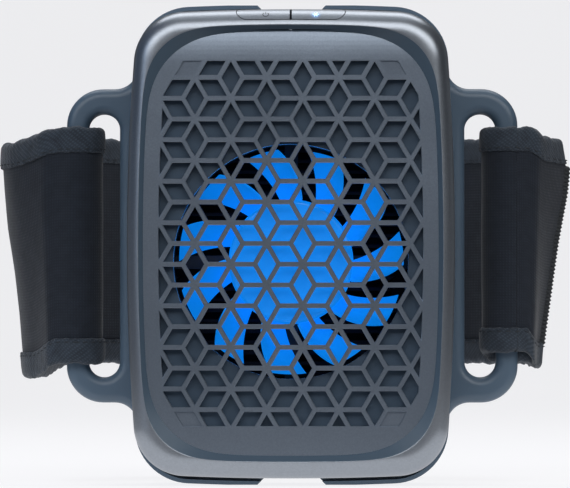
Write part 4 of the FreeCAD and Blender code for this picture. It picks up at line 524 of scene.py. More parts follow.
# %% One rhombic cutter
cutter, given = blank_tree("rhombic_cutter", LATTICE_SIZES)
block = node(cutter, "GeometryNodeMeshCube", {"Size": (2, 2, 2), "Vertices Y": 3})
at, wider, y_to = levels(cutter, given)
apothem = node(cutter, "ShaderNodeMath", {0: given["Side"], 1: math.sqrt(3) / 4}, operation="MULTIPLY")
half_rib = node(cutter, "ShaderNodeMath", {0: given["Rib"], 1: 0.5}, operation="MULTIPLY")
opening = node(cutter, "ShaderNodeMath", {0: apothem, 1: half_rib}, operation="SUBTRACT")
widened = node(cutter, "ShaderNodeMath", {0: opening, 1: wider}, operation="ADD")
scale = node(cutter, "ShaderNodeMath", {0: widened, 1: apothem}, operation="DIVIDE")
moved = {"Y": y_to}
for axis, operation, first, second, part in (("X", "ADD", "X", "Z", math.sqrt(3) / 4),
                                             ("Z", "SUBTRACT", "Z", "X", 0.25)):
    mixed = node(cutter, "ShaderNodeMath", {0: at[first], 1: at[second]}, operation=operation)
    long = node(cutter, "ShaderNodeMath", {0: given["Side"], 1: part}, operation="MULTIPLY")
    grown_to = node(cutter, "ShaderNodeMath", {0: long, 1: scale}, operation="MULTIPLY")
    moved[axis] = node(cutter, "ShaderNodeMath", {0: mixed, 1: grown_to}, operation="MULTIPLY")
place = node(cutter, "ShaderNodeCombineXYZ", moved)
shaped = node(cutter, "GeometryNodeSetPosition", {"Geometry": block, "Position": place})
node(cutter, "NodeGroupOutput", {"Geometry": shaped})
print("cutter nodes:", len(cutter.nodes))

# %% The joints of the grid
WINDOW = {"Half Width": 31.7 * MM, "Half Height": 43.8 * MM, "Side Bow": 540 * MM}
GRID_COLUMNS, GRID_ROWS = 11, 13
lattice, given = blank_tree("rhombic_lattice", {**LATTICE_SIZES, "Ghost Depth": "Float",
                                                "Half Width": "Float", "Half Height": "Float",
                                                "Side Bow": "Float", "Paint": "Material"})
step = node(lattice, "ShaderNodeMath", {0: given["Side"], 1: 1.5}, operation="MULTIPLY")
pitch = node(lattice, "ShaderNodeMath", {0: given["Side"], 1: math.sqrt(3)}, operation="MULTIPLY")
half_pitch = node(lattice, "ShaderNodeMath", {0: pitch, 1: 0.5}, operation="MULTIPLY")
wide = node(lattice, "ShaderNodeMath", {0: step, 1: GRID_COLUMNS - 1.0}, operation="MULTIPLY")
tall = node(lattice, "ShaderNodeMath", {0: pitch, 1: GRID_ROWS - 1.0}, operation="MULTIPLY")
joints = node(lattice, "GeometryNodeMeshGrid", {"Size X": wide, "Size Y": tall,
                                                "Vertices X": GRID_COLUMNS, "Vertices Y": GRID_ROWS})
joints = node(lattice, "GeometryNodeMeshToPoints", {"Mesh": joints.outputs["Mesh"]})
at = node(lattice, "ShaderNodeSeparateXYZ", {0: node(lattice, "GeometryNodeInputPosition")}).outputs
column = node(lattice, "ShaderNodeMath", {0: at["X"], 1: step}, operation="DIVIDE")
column = node(lattice, "ShaderNodeMath", {0: column}, operation="ROUND")
odd = node(lattice, "ShaderNodeMath", {0: column, 1: 2.0}, operation="FLOORED_MODULO")
joint_x = node(lattice, "ShaderNodeMath", {0: at["X"], 1: given["Side"]}, operation="SUBTRACT")
joint_z = node(lattice, "ShaderNodeMath", {0: odd, 1: half_pitch, 2: at["Y"]}, operation="MULTIPLY_ADD")
joint = node(lattice, "ShaderNodeCombineXYZ", {"X": joint_x, "Z": joint_z})
joints = node(lattice, "GeometryNodeSetPosition", {"Geometry": joints, "Position": joint})
print("joints in the grid:", GRID_COLUMNS * GRID_ROWS)

# %% Three openings at each joint, and a fourth kind beside the right edge
KINDS, EDGE_KIND = 4, 2.5       # a kind above the second number lies beside the right edge
kinds = node(lattice, "GeometryNodeDuplicateElements", {"Geometry": joints, "Amount": KINDS},
             domain="POINT")
kind = kinds.outputs["Duplicate Index"]
turn = node(lattice, "ShaderNodeMath", {0: kind, 1: -math.pi / 3, 2: math.pi / 2},
            operation="MULTIPLY_ADD")
x_way = node(lattice, "ShaderNodeMath", {0: turn}, operation="COSINE")
z_way = node(lattice, "ShaderNodeMath", {0: turn}, operation="SINE")
way = node(lattice, "ShaderNodeCombineXYZ", {"X": x_way, "Z": z_way})
way = node(lattice, "ShaderNodeVectorMath", {0: way, "Scale": half_pitch}, operation="SCALE")
half_side = node(lattice, "ShaderNodeMath", {0: given["Side"], 1: 0.5}, operation="MULTIPLY")
sideways = node(lattice, "ShaderNodeCombineXYZ", {"X": half_side})
at_edge = node(lattice, "ShaderNodeMath", {0: kind, 1: EDGE_KIND}, operation="GREATER_THAN")
offset = node(lattice, "ShaderNodeMix", {0: at_edge, 4: way, 5: sideways}, data_type="VECTOR")
openings = node(lattice, "GeometryNodeSetPosition", {"Geometry": kinds, "Offset": offset.outputs[1]})
print("places for an opening:", KINDS * GRID_COLUMNS * GRID_ROWS)

# %% Which openings there are
CORNER_SIDES, CORNER_PITCHES = 1.6, 0.4         # how far each corner stays solid, along x and z
at = node(lattice, "ShaderNodeSeparateXYZ", {0: node(lattice, "GeometryNodeInputPosition")}).outputs
far_x = node(lattice, "ShaderNodeMath", {0: at["X"]}, operation="ABSOLUTE")
far_z = node(lattice, "ShaderNodeMath", {0: at["Z"]}, operation="ABSOLUTE")
corner_x = node(lattice, "ShaderNodeMath", {0: given["Side"], 1: -CORNER_SIDES,
                                          2: given["Half Width"]},
                operation="MULTIPLY_ADD")
corner_z = node(lattice, "ShaderNodeMath", {0: pitch, 1: -CORNER_PITCHES, 2: given["Half Height"]},
                operation="MULTIPLY_ADD")
past_x = node(lattice, "ShaderNodeMath", {0: far_x, 1: corner_x}, operation="GREATER_THAN")
past_z = node(lattice, "ShaderNodeMath", {0: far_z, 1: corner_z}, operation="GREATER_THAN")
in_corner = node(lattice, "ShaderNodeMath", {0: past_x, 1: past_z}, operation="MULTIPLY")
past_side = node(lattice, "ShaderNodeMath", {0: far_x, 1: given["Half Width"]},
                 operation="GREATER_THAN")
out = node(lattice, "ShaderNodeMath", {0: in_corner, 1: past_side}, operation="MAXIMUM")
left_of = node(lattice, "ShaderNodeMath", {0: given["Half Width"], 1: given["Side"]},
               operation="SUBTRACT")
too_left = node(lattice, "ShaderNodeMath", {0: at["X"], 1: left_of}, operation="LESS_THAN")
right_of = node(lattice, "ShaderNodeMath", {0: given["Half Width"], 1: half_side}, operation="ADD")
too_right = node(lattice, "ShaderNodeMath", {0: at["X"], 1: right_of}, operation="GREATER_THAN")
last_z = node(lattice, "ShaderNodeMath", {0: corner_z, 1: half_pitch}, operation="SUBTRACT")
too_far = node(lattice, "ShaderNodeMath", {0: far_z, 1: last_z}, operation="GREATER_THAN")
out_edge = node(lattice, "ShaderNodeMath", {0: too_left, 1: too_right}, operation="MAXIMUM")
out_edge = node(lattice, "ShaderNodeMath", {0: out_edge, 1: too_far}, operation="MAXIMUM")
unwanted = node(lattice, "ShaderNodeMix", {0: at_edge, 2: out, 3: out_edge})
openings = node(lattice, "GeometryNodeDeleteGeometry", {"Geometry": openings,
                                                        "Selection": unwanted.outputs[0]},
                domain="POINT")
print("each corner stays solid over", CORNER_SIDES, "sides by", CORNER_PITCHES, "pitches")

# %% Open cells and blind cells
# The four blind cells near the corners are only as deep as a hollow in the mould, and lean towards
# the middle of the panel.
BLIND_X, BLIND_Z, GHOST_DEPTH = 24.4 * MM, 42.327 * MM, 0.6 * MM
same = {size: given[size] for size in ("Side", "Rib", "Bevel", "Front")}
through = node(lattice, "GeometryNodeGroup", {}, node_tree=cutter)
shallow = node(lattice, "GeometryNodeGroup", {}, node_tree=cutter)
ghost_back = node(lattice, "ShaderNodeMath", {0: given["Front"], 1: given["Ghost Depth"]},
                  operation="SUBTRACT")
for group, back in ((through, given["Back"]), (shallow, ghost_back.outputs[0])):
    for size, value in {**same, "Back": back}.items():
        lattice.links.new(value, group.inputs[size])
tilt = node(lattice, "ShaderNodeMath", {0: turn, 1: -1.0}, operation="MULTIPLY")
cell_turn = node(lattice, "ShaderNodeCombineXYZ", {"Y": tilt})
cells = node(lattice, "GeometryNodeInstanceOnPoints", {"Points": openings, "Instance": through,
                                                       "Rotation": cell_turn})
blind = node(lattice, "GeometryNodeMeshGrid", {"Size X": 2 * BLIND_X, "Size Y": 2 * BLIND_Z,
                                               "Vertices X": 2, "Vertices Y": 2})
blind = node(lattice, "GeometryNodeTransform", {"Geometry": blind.outputs["Mesh"],
                                                "Rotation": (math.radians(90), 0, 0)})
product = node(lattice, "ShaderNodeMath", {0: at["X"], 1: at["Z"]}, operation="MULTIPLY")
lean_way = node(lattice, "ShaderNodeMath", {0: product}, operation="SIGN")
lean_way = node(lattice, "ShaderNodeMath", {0: lean_way, 1: math.radians(30)}, operation="MULTIPLY")
blind_turn = node(lattice, "ShaderNodeCombineXYZ", {"Y": lean_way})
blind = node(lattice, "GeometryNodeInstanceOnPoints", {"Points": blind, "Instance": shallow,
                                                       "Rotation": blind_turn})
cells = node(lattice, "GeometryNodeRealizeInstances", {"Geometry": cells})
blind = node(lattice, "GeometryNodeRealizeInstances", {"Geometry": blind})
print("blind cells", round(BLIND_X / MM, 1), "mm aside and", round(BLIND_Z / MM, 1), "mm up and down")

# %% The window and the cut
pane = node(lattice, "GeometryNodeMeshCube", {"Size": (2, 2, 2), "Vertices Y": 3, "Vertices Z": 25})
at, wider, y_to = levels(lattice, given)
tall = node(lattice, "ShaderNodeMath", {0: given["Half Height"], 1: wider}, operation="ADD")
z_to = node(lattice, "ShaderNodeMath", {0: at["Z"], 1: tall}, operation="MULTIPLY")
square = node(lattice, "ShaderNodeMath", {0: z_to, 1: z_to}, operation="MULTIPLY")
bow = node(lattice, "ShaderNodeMath", {0: square, 1: given["Side Bow"]}, operation="DIVIDE")
wide = node(lattice, "ShaderNodeMath", {0: bow, 1: -0.5, 2: given["Half Width"]},
            operation="MULTIPLY_ADD")
wide = node(lattice, "ShaderNodeMath", {0: wide, 1: wider}, operation="ADD")
x_to = node(lattice, "ShaderNodeMath", {0: at["X"], 1: wide}, operation="MULTIPLY")
place = node(lattice, "ShaderNodeCombineXYZ", {"X": x_to, "Y": y_to, "Z": z_to})
pane = node(lattice, "GeometryNodeSetPosition", {"Geometry": pane, "Position": place})
cuts = node(lattice, "GeometryNodeJoinGeometry")
lattice.links.new(blind.outputs[0], cuts.inputs[0])
lattice.links.new(cells.outputs[0], cuts.inputs[0])
clipped = node(lattice, "GeometryNodeMeshBoolean", {"Mesh 2": cuts}, operation="INTERSECT",
               solver="EXACT")
lattice.links.new(pane.outputs[0], clipped.inputs["Mesh 2"])
cut = node(lattice, "GeometryNodeMeshBoolean", {"Mesh 1": given["Geometry"],
                                                "Mesh 2": clipped.outputs["Mesh"]},
           operation="DIFFERENCE", solver="EXACT")
plain = node(lattice, "GeometryNodeRealizeInstances", {"Geometry": cut.outputs["Mesh"]})
painted = node(lattice, "GeometryNodeSetMaterial", {"Geometry": plain, "Material": given["Paint"]})
node(lattice, "NodeGroupOutput", {"Geometry": painted})
print("lattice nodes:", len(lattice.nodes))

# %% [markdown]
# ## The plate that the lattice is cut from
# Its outline has bowed sides and round corners, as the shell's has: eight arcs that meet smoothly.
# Arcs alone leave a jump in curvature that a highlight shows as a kink, so the outline is then
# evened out, as a toolmaker would polish it. The face falls away towards its top edge, and light
# rolls off it there. A plate bent by a modifier would need many more faces, so the flat plate is
# divided at a few heights and only those rows are moved back.

# %% Outlines
def crowned_outline(half_x, half_z, bow, corner, steps=16, side_steps=8):
    """Points round a rectangle with bowed sides and round corners, starting at the right."""
    side, cap = Vector((half_x - bow, 0)), Vector((0, half_z - bow))
    middle = (side + cap) / 2
    away = Vector((side.y - cap.y, cap.x - side.x)).normalized()
    centre = middle + away * math.sqrt((bow - corner) ** 2 - ((cap - side).length / 2) ** 2)
    turn_a, turn_b = math.atan2(centre.y, centre.x - side.x), math.atan2(centre.y - cap.y, centre.x)
    quarter = [(side.x + bow * math.cos(t), bow * math.sin(t))
               for t in np.linspace(0, turn_a, side_steps + 1)[:-1]]
    quarter += [(centre.x + corner * math.cos(t), centre.y + corner * math.sin(t))
                for t in np.linspace(turn_a, turn_b, steps + 1)[:-1]]
    quarter += [(bow * math.cos(t), cap.y + bow * math.sin(t))
                for t in np.linspace(turn_b, math.pi / 2, side_steps + 1)]
    half = quarter + [(-x, z) for x, z in quarter[-2::-1]]
    return half + [(x, -z) for x, z in half[-2:0:-1]]


def softened(outline, reach=5.0, step=0.4):
    """Evens out a closed outline over a length in millimetres, so that its arcs flow together."""
    ring = np.array([*outline, outline[0]])
    along = np.concatenate([[0], np.cumsum(np.hypot(*np.diff(ring, axis=0).T))])
    even = np.linspace(0, along[-1], round(along[-1] / step), endpoint=False)
    dense = np.stack([np.interp(even, along, ring[:, k]) for k in (0, 1)], -1)
    count = round(3 * reach / step)
    weights = np.exp(-0.5 * (np.arange(-count, count + 1) * step / reach) ** 2)
    weights /= weights.sum()
    soft = sum(w * np.roll(dense, k, 0) for k, w in zip(range(-count, count + 1), weights))
    return np.stack([np.interp(along[:-1], even, soft[:, k], period=along[-1]) for k in (0, 1)], -1)


# %% The blank plate
PANEL_HALF, PANEL_BOW, PANEL_CORNER = (35.47, 50.87), 584.4, 17.97      # millimetres
FALL_START, FALL_REACH, FALL_DEPTH = 30.0, 42.0, 0.64
LIP_START, LIP_REACH, LIP_DEPTH = 43.4, 7.5, 0.46
rows_at = np.linspace(FALL_START, PANEL_HALF[1], 20)
row_falls = (FALL_DEPTH * smooth(rows_at, FALL_START, FALL_START + FALL_REACH)
             + LIP_DEPTH * np.clip((rows_at - LIP_START) / LIP_REACH, 0, 1) ** 2)


def fall(z):
    """How far the panel's face has fallen back at a height, both in millimetres."""
    return np.interp(z, rows_at, row_falls)


blank = bmesh.new()
outline = softened(crowned_outline(*PANEL_HALF, PANEL_BOW, PANEL_CORNER))
top = blank.faces.new([blank.verts.new((x * MM, -PANEL_BACK, z * MM)) for x, z in outline])
drawn = bmesh.ops.extrude_face_region(blank, geom=[top])["geom"]
bmesh.ops.translate(blank, verts=[v for v in drawn if isinstance(v, bmesh.types.BMVert)],
                    vec=(0, PANEL_BACK - PANEL_FRONT, 0))
TOUCH = 1e-6                    # metres
for z in [*rows_at[:-1], *-rows_at[:-1]]:
    bmesh.ops.bisect_plane(blank, geom=blank.verts[:] + blank.edges[:] + blank.faces[:], dist=TOUCH / 10,
                           plane_co=(0, 0, z * MM), plane_no=(0, 0, 1))
for vertex in blank.verts:
    if vertex.co.y < -PANEL_FRONT + TOUCH:
        vertex.co.y += float(fall(vertex.co.z / MM)) * MM
bmesh.ops.recalc_face_normals(blank, faces=blank.faces)
plate_mesh = bpy.data.meshes.new("plate_blank")
blank.to_mesh(plate_mesh)
blank.free()
print("plate faces:", len(plate_mesh.polygons), "deepest fall:", round(float(row_falls[-1]), 2), "mm")

# %% The finished lattice panel
PAST_BACK = 1 * MM              # how far the cutters reach past the back of the plate
panel = grown("lattice_panel", plate_mesh, lattice, {
    "Side": CELL_SIDE, "Rib": RIB, "Bevel": CELL_BEVEL, "Front": PANEL_FRONT,
    "Back": PANEL_BACK - PAST_BACK, "Ghost Depth": GHOST_DEPTH, "Paint": panel_paint, **WINDOW})
panel.data.shade_flat()


DEPTH_PLAY, SIDE_PLAY = 0.2 * MM, 2 * MM        # round the place where a blind floor should be


def is_blind_floor(face):
    """Whether a face of the panel is the floor of a blind cell."""
    sunk = face.center.y + PANEL_FRONT
    return (face.normal.y < -0.9 and GHOST_DEPTH - DEPTH_PLAY < sunk < GHOST_DEPTH + DEPTH_PLAY
            and abs(abs(face.center.x) - BLIND_X) < SIDE_PLAY)


panel.data.materials.append(floor_abs)
floors = [face for face in panel.data.polygons if is_blind_floor(face)]
for face in floors:
    face.material_index = 1
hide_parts("grille_panel")
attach(panel, "unit")
print("lattice panel faces:", len(panel.data.polygons), "of them floors of blind cells:", len(floors))

# %% [markdown]
# ## The front shell
# The shell is moulded and painted. Its rim is a quarter round, and inside it the surface dips along a
# narrow slope to the lattice panel. A bevelled box could never give that: the width of the slope
# changes round the corners. So the shell is lofted. Its cross-section is a list of closed outlines,
# from the back edge over the rim, down the slope, under the panel and back along the inside, and
# every outline has the same number of points, so neighbours are joined by plain quads. The edge
# between rim and slope is rounded, because paint never holds a sharp edge. The slope itself takes a
# darker blue-grey plastic: its bluish tint, with painted shade of the narrow dip.

# %% Outlines of the shell
SHELL_HALF, SHELL_BOW, SHELL_CORNER = (39.4, 56.35), 590.0, 12.5
SHELL = (*SHELL_HALF, SHELL_BOW, SHELL_CORNER)  # half width, half height, bow and corner radius
CREST = (36.6, 52.35, 587.2, 14.0)              # the edge between rim and slope
FOOT = (35.48, 50.88, 584.4, 18.0)              # the end of the slope, round the panel
SEAT = (33.8, 45.9, 1e5, 12.1)                  # the opening under the panel, with straight sides
INSIDE = (37.2, 54.15, 587.8, 10.3)
RIM_ROUND, FRONT_DEPTH, SPLIT_DEPTH = 5.0, 44.0, 24.0
FOOT_DEPTH, SEAT_DEPTH, WALL_DEPTH = 42.3, 40.5, 39.3
WALL_RINGS = (30.0, 36.0)       # depths of two more outlines on the side walls
RIM_TURNS, RIM_STEPS, EDGE_SOFT = (8, 16, 24, 32, 40, 47), 9, 0.25


def ring_of(half_x, half_z, bow, corner, depth, soft=False):
    """One closed outline of the shell as an array of (x, y, z), at a depth in millimetres."""
    flat = np.array(crowned_outline(half_x, half_z, bow, corner, steps=24, side_steps=12))
    if soft:
        flat = softened(flat)
    return np.stack([flat[:, 0], np.full(len(flat), -depth), flat[:, 1]], -1)


def rim_depth(ring):
    """The depth of the rounded rim above each point, from its distance to the outer outline."""
    outer = np.array(crowned_outline(*SHELL, steps=200, side_steps=400))
    inset = np.array([np.hypot(*(outer - point).T).min() for point in ring[:, (0, 2)]])
    inset = np.clip(inset, 0, RIM_ROUND)
    return FRONT_DEPTH - RIM_ROUND + np.sqrt(RIM_ROUND ** 2 - (RIM_ROUND - inset) ** 2)


rings = [ring_of(*SHELL, depth) for depth in (SPLIT_DEPTH, *WALL_RINGS, FRONT_DEPTH - RIM_ROUND)]
for turn in np.radians(RIM_TURNS):
    inset = RIM_ROUND * (1 - math.cos(turn))
    rings.append(ring_of(*[size - inset for size in SHELL],
                         FRONT_DEPTH - RIM_ROUND + RIM_ROUND * math.sin(turn)))
start, edge = rings[-1], ring_of(*CREST, 0, soft=True)
for part in np.linspace(0, 1, RIM_STEPS)[1:]:
    ring = start + (edge - start) * part
    ring[:, 1] = -rim_depth(ring)
    rings.append(ring)
foot = ring_of(*FOOT, FOOT_DEPTH, soft=True)
foot[:, 1] += fall(foot[:, 2])
crest, before = rings.pop(), rings[-1]
to_rim = (before - crest) / np.linalg.norm(before - crest, axis=1)[:, None] * EDGE_SOFT
to_foot = (foot - crest) / np.linalg.norm(foot - crest, axis=1)[:, None] * EDGE_SOFT
for t in np.linspace(0, 1, 6):
    rings.append(crest + to_rim * (1 - t) ** 2 + to_foot * t ** 2)
slope_start = len(rings) - 3
rings += [crest + (foot - crest) * t for t in (0.5, 0.8)] + [foot]
slope_end = len(rings) - 1
rings += [ring_of(*FOOT, SEAT_DEPTH, soft=True), ring_of(*SEAT, SEAT_DEPTH), ring_of(*SEAT, WALL_DEPTH),
          ring_of(*INSIDE, WALL_DEPTH), ring_of(*INSIDE, SPLIT_DEPTH)]
print("shell rings:", len(rings), "points in each:", len(rings[0]))


# %% [markdown]
# ## Small solids to add and cut with
# Screw bosses, bores and the openings for the keys are prisms: an outline drawn from one height to
# another in some direction. One exact boolean adds or cuts several of them at once. That is how the
# openings are made in the mould too, as steel pins and blocks that keep the plastic out.

# %% Solid helpers
def solid(name, points, faces):
    """A plain object from points in millimetres."""
    mesh = bpy.data.meshes.new(name)
    mesh.from_pydata((np.asarray(points) * MM).tolist(), [], faces)
    tidy = bmesh.new()
    tidy.from_mesh(mesh)
    bmesh.ops.recalc_face_normals(tidy, faces=tidy.faces)
    tidy.to_mesh(mesh)
    tidy.free()
    made = bpy.data.objects.new(name, mesh)
    bpy.context.scene.collection.objects.link(made)
    return made


def prism(name, outline, place, start, end):
    """An outline of (right, up) drawn from one height to another in a frame (origin, right, up, out)."""
    origin, right, up, out = (np.array(v, float) for v in place)
    flat = [right * x + up * y for x, y in outline]
    points = [origin + p + out * level for level in (start, end) for p in flat]
    n = len(outline)
    sides = [(k, (k + 1) % n, n + (k + 1) % n, n + k) for k in range(n)]
    return solid(name, points, sides + [tuple(range(n)), tuple(range(n, 2 * n))])


def combine(made, tools, operation):
    """Joins tools to an object or cuts them from it, and removes them."""
    for tool in tools:
        change = made.modifiers.new("change", "BOOLEAN")
        change.operation, change.solver, change.object = operation, "EXACT", tool
    plain = bpy.data.meshes.new_from_object(made.evaluated_get(bpy.context.evaluated_depsgraph_get()))
    made.modifiers.clear()
    made.data = plain
    for tool in tools:
        bpy.data.objects.remove(tool)


def disc_outline(radius, x=0.0, y=0.0, count=32):
    """A circle about (x, y)."""
    return [(x + radius * math.cos(t), y + radius * math.sin(t))
            for t in np.linspace(0, 2 * math.pi, count, endpoint=False)]


def slot_outline(length, width, count=16):
    """A pill: a rectangle with half-round ends."""
    r, run = width / 2, (length - width) / 2
    right = [(run + r * math.cos(t), r * math.sin(t))
             for t in np.linspace(-math.pi / 2, math.pi / 2, count)]
    return right + [(-x, -y) for x, y in right]


def rectangle(left, right, low, high):
    """Four corners, from the lower left one round."""
    return [(left, low), (right, low), (right, high), (left, high)]


# %% Loft of the shell
count = len(rings[0])
faces = []
for row in range(len(rings)):
    at, ahead = row * count, (row + 1) % len(rings) * count
    faces += [(at + k, at + (k + 1) % count, ahead + (k + 1) % count, ahead + k) for k in range(count)]
shell = solid("front_shell", np.concatenate(rings), faces)
for finish in (shell_paint, slope_shaded_abs):
    shell.data.materials.append(finish)
for face in shell.data.polygons:
    face.material_index = int(slope_start <= face.index // count < slope_end)
print("slope faces:", sum(face.material_index for face in shell.data.polygons))

# %% Bosses, screw bores and the openings for the keys
FACING = ((0, 0, 0), (1, 0, 0), (0, 0, 1), (0, -1, 0))
SCREW_X, SCREW_Z, BOSS_RADIUS, BOSS_END = 31.0, 45.0, 3.2, 39.6
BORE_RADIUS, BORE_END, BORE_OUTSIDE = 1.25, 30.5, 1.0
KEY_LEAN = math.radians(60)     # how far up the rim the keys sit
KEY_PILL, KEY_PILL_DEPTHS, RAIL_X = (26.4, 5.6), (-3.6, 2.0), 15.9
# Blocks in the keys' own frame: half width, lower and upper edge, and depth from and to.
RAIL = (1.1, (-0.8, 3.2), (-7.6, -2.5))
WELL = (14.6, (-2.9, 3.4), (-3.6, -2.6))
STEM_ROOM = (14.6, (-1.2, 3.4), (-8.4, -3.4))
screw_spots = [(x, z) for x in (-SCREW_X, SCREW_X) for z in (-SCREW_Z, SCREW_Z)]
press_out = (0, -math.cos(KEY_LEAN), math.sin(KEY_LEAN))
press_up = (0, math.sin(KEY_LEAN), math.cos(KEY_LEAN))
KEYS = ((0, -(FRONT_DEPTH - RIM_ROUND + RIM_ROUND * math.cos(KEY_LEAN)),
         SHELL_HALF[1] - RIM_ROUND + RIM_ROUND * math.sin(KEY_LEAN)), (1, 0, 0), press_up, press_out)


def key_block(name, x, half, edges, depths):
    """A block in the keys' frame, centred on x."""
    return prism(name, rectangle(x - half, x + half, *edges), KEYS, *depths)


bosses = [prism("boss", disc_outline(BOSS_RADIUS, *spot), FACING, SPLIT_DEPTH, BOSS_END)
          for spot in screw_spots]
combine(shell, bosses + [key_block("rail", x, *RAIL) for x in (-RAIL_X, RAIL_X)], "UNION")
bores = [prism("bore", disc_outline(BORE_RADIUS, *spot), FACING, SPLIT_DEPTH - BORE_OUTSIDE, BORE_END)
         for spot in screw_spots]
key_opening = [prism("pill", slot_outline(*KEY_PILL), KEYS, *KEY_PILL_DEPTHS),
               key_block("well", 0, *WELL), key_block("stem", 0, *STEM_ROOM)]
combine(shell, bores + key_opening, "DIFFERENCE")
print("bosses:", len(bosses), "bores:", len(bores), "blocks of the key opening:", len(key_opening))

# %% Hand the shell over
SHELL_SHARP = math.radians(32)
shell.data.shade_smooth()
shell.data.set_sharp_from_angle(angle=SHELL_SHARP)
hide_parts("front_bezel")
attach(shell, "unit")
print("front shell faces:", len(shell.data.polygons), "size in m:", shell.dimensions[:])

# %% [markdown]
# ## The strap's line
# Seen from above, the strap is one line of straight runs and tangent turns. It leaves the right
# loop's front, passes round the bar, folds back under its own free end, goes round the limb, folds
# once more on the left and passes round the left bar. The sizes are those of the solid model.

# %% The strap's line
CORE, OUTER = 1.1, 1.6                          # half thickness of the band, and over the bindings
HALF = 29.0                                     # half width
BAR, BAR_HALF, BAR_ROUND = Vector((52.5, -11.0)), (2.7, 3.0), 2.2
PLAY = 0.3                                      # between the strap and the bar
ROLL = math.dist(BAR_HALF, (BAR_ROUND, BAR_ROUND)) + BAR_ROUND + PLAY + OUTER
LEAN, SLOPE = 22.0, 55.0                        # degrees, of the runs beside the bar and of the fold
CREASE_X, CREASE_R, FOLD_R = 59.6, 2.4, 4.0
SIDE_R, DEPTH = 20.0, 84.0
UNDER_RUN, LEFT_RUN, LEFT_END = 3.0, 8.0, 4.2
SPLIT_GAP, FLAP_LONG, HOOK_SPACE = 0.08, 11.0, 1.5


def strap_line(x, y, heading, moves, step=0.7):
    """Samples (x, y, heading) along moves: a number runs straight, (degrees, radius) turns."""
    rows = [(x, y, heading)]
    for move in moves:
        x, y, heading = rows[-1]
        a = math.radians(heading)
        if not isinstance(move, tuple):
            count = max(1, round(move / step))
            rows += [(x + math.cos(a) * move * k / count, y + math.sin(a) * move * k / count, heading)
                     for k in range(1, count + 1)]
            continue
        angle, radius = move
        inward = math.copysign(radius, angle)
        cx, cy = x - math.sin(a) * inward, y + math.cos(a) * inward
        count = max(4, round(abs(math.radians(angle)) * radius / step))
        for k in range(1, count + 1):
            turned_to = heading + angle * k / count
            b = math.radians(turned_to)
            rows.append((cx + math.sin(b) * inward, cy - math.cos(b) * inward, turned_to))
    return rows


# %% The free end's line and the strap round the limb
lean, slope = math.radians(LEAN), math.radians(SLOPE)
front = (BAR.x + ROLL * math.sin(lean), BAR.y - ROLL * math.cos(lean))
behind = (BAR.x + ROLL * math.sin(lean), BAR.y + ROLL * math.cos(lean))
to_crease = (CREASE_X - front[0]) / math.cos(lean) - CREASE_R * math.tan((slope - lean) / 2)
split = (front[0] + math.cos(lean) * SPLIT_GAP, front[1] + math.sin(lean) * SPLIT_GAP)
flap_line = strap_line(*split, LEAN, [to_crease - SPLIT_GAP, (SLOPE - LEAN, CREASE_R), FLAP_LONG], 0.3)
tip = flap_line[-1]
under = strap_line(*behind, -LEAN, [(SLOPE + LEAN, FOLD_R)])[-1]
spare = ((tip[0] - under[0]) * math.sin(slope) - (tip[1] - under[1]) * math.cos(slope)
         - 2 * OUTER - HOOK_SPACE)
right = strap_line(*front, 180 + LEAN, [(-(180 + 2 * LEAN), ROLL), spare / math.sin(slope + lean),
                                        (SLOPE + LEAN, FOLD_R), UNDER_RUN, (90 - SLOPE, SIDE_R)])
right = strap_line(*right[0], [], 1) + right[1:]
x, y, heading = right[-1]
right += strap_line(x, y, heading, [DEPTH - y - x, (90, x)])[1:]
left_end = (behind[0] + LEFT_END * math.cos(lean), behind[1] - LEFT_END * math.sin(lean))
left = strap_line(*left_end, 180 - LEAN, [LEFT_END, (180 + 2 * LEAN, ROLL), to_crease,
                                          (SLOPE - LEAN, CREASE_R), LEFT_RUN, (90 - SLOPE, SIDE_R)])
x, y, heading = left[-1]
left += strap_line(x, y, heading, [DEPTH - y - x, (90, x)])[1:]
ring_line = right + [(-x, y, -heading) for x, y, heading in left[::-1]][1:]
lengths = [math.dist(a[:2], b[:2]) for a, b in zip(ring_line, ring_line[1:])]
print("strap length", round(sum(lengths)), "mm")

# %% [markdown]
# ## How the cloth hangs
# A real strap is never as true as its pattern. Where it folds back at the left it drops a little,
# leans in at the bottom and bellies out. On the right it is gathered shorter in front, and its upper
# edge sags towards the free end. A cloth simulation could find such a shape, but not the same one
# twice. One function bends every strap piece alike, so seams and tapes stay on their cloth.

# %% How the cloth hangs
def ripple(along, lengths, seed):
    """An uneven wave between -1 and 1: sines of several lengths with shifted starts."""
    phases = np.random.default_rng(seed).uniform(0, 2 * math.pi, len(lengths))
    return sum(np.sin(2 * math.pi * along / length + phase)
               for length, phase in zip(lengths, phases)) / len(lengths)


HANG_START, HANG_END, MOST_LEAN = 57, 67, 4.8   # across the strap's ends, in millimetres
LEFT_LEAN, RIGHT_LEAN = (0.078, 24), (0.1, 22)  # how steeply an end leans in, and below what height
BELLY_LEVELS, BELLY = [-25, -13, -4, 8, 18, 29], [1.4, 1.4, 1.7, 2.5, 2.8, 2.6]
LEFT_DROP, RIGHT_DROP, END_SAG, GATHER = 3.4, 1.0, 1.5, 0.05
SAG_X, GATHER_X, GATHER_END_X, GATHER_Y = (58.8, 62.0), (40, 44), (57, 60), (5, 11)


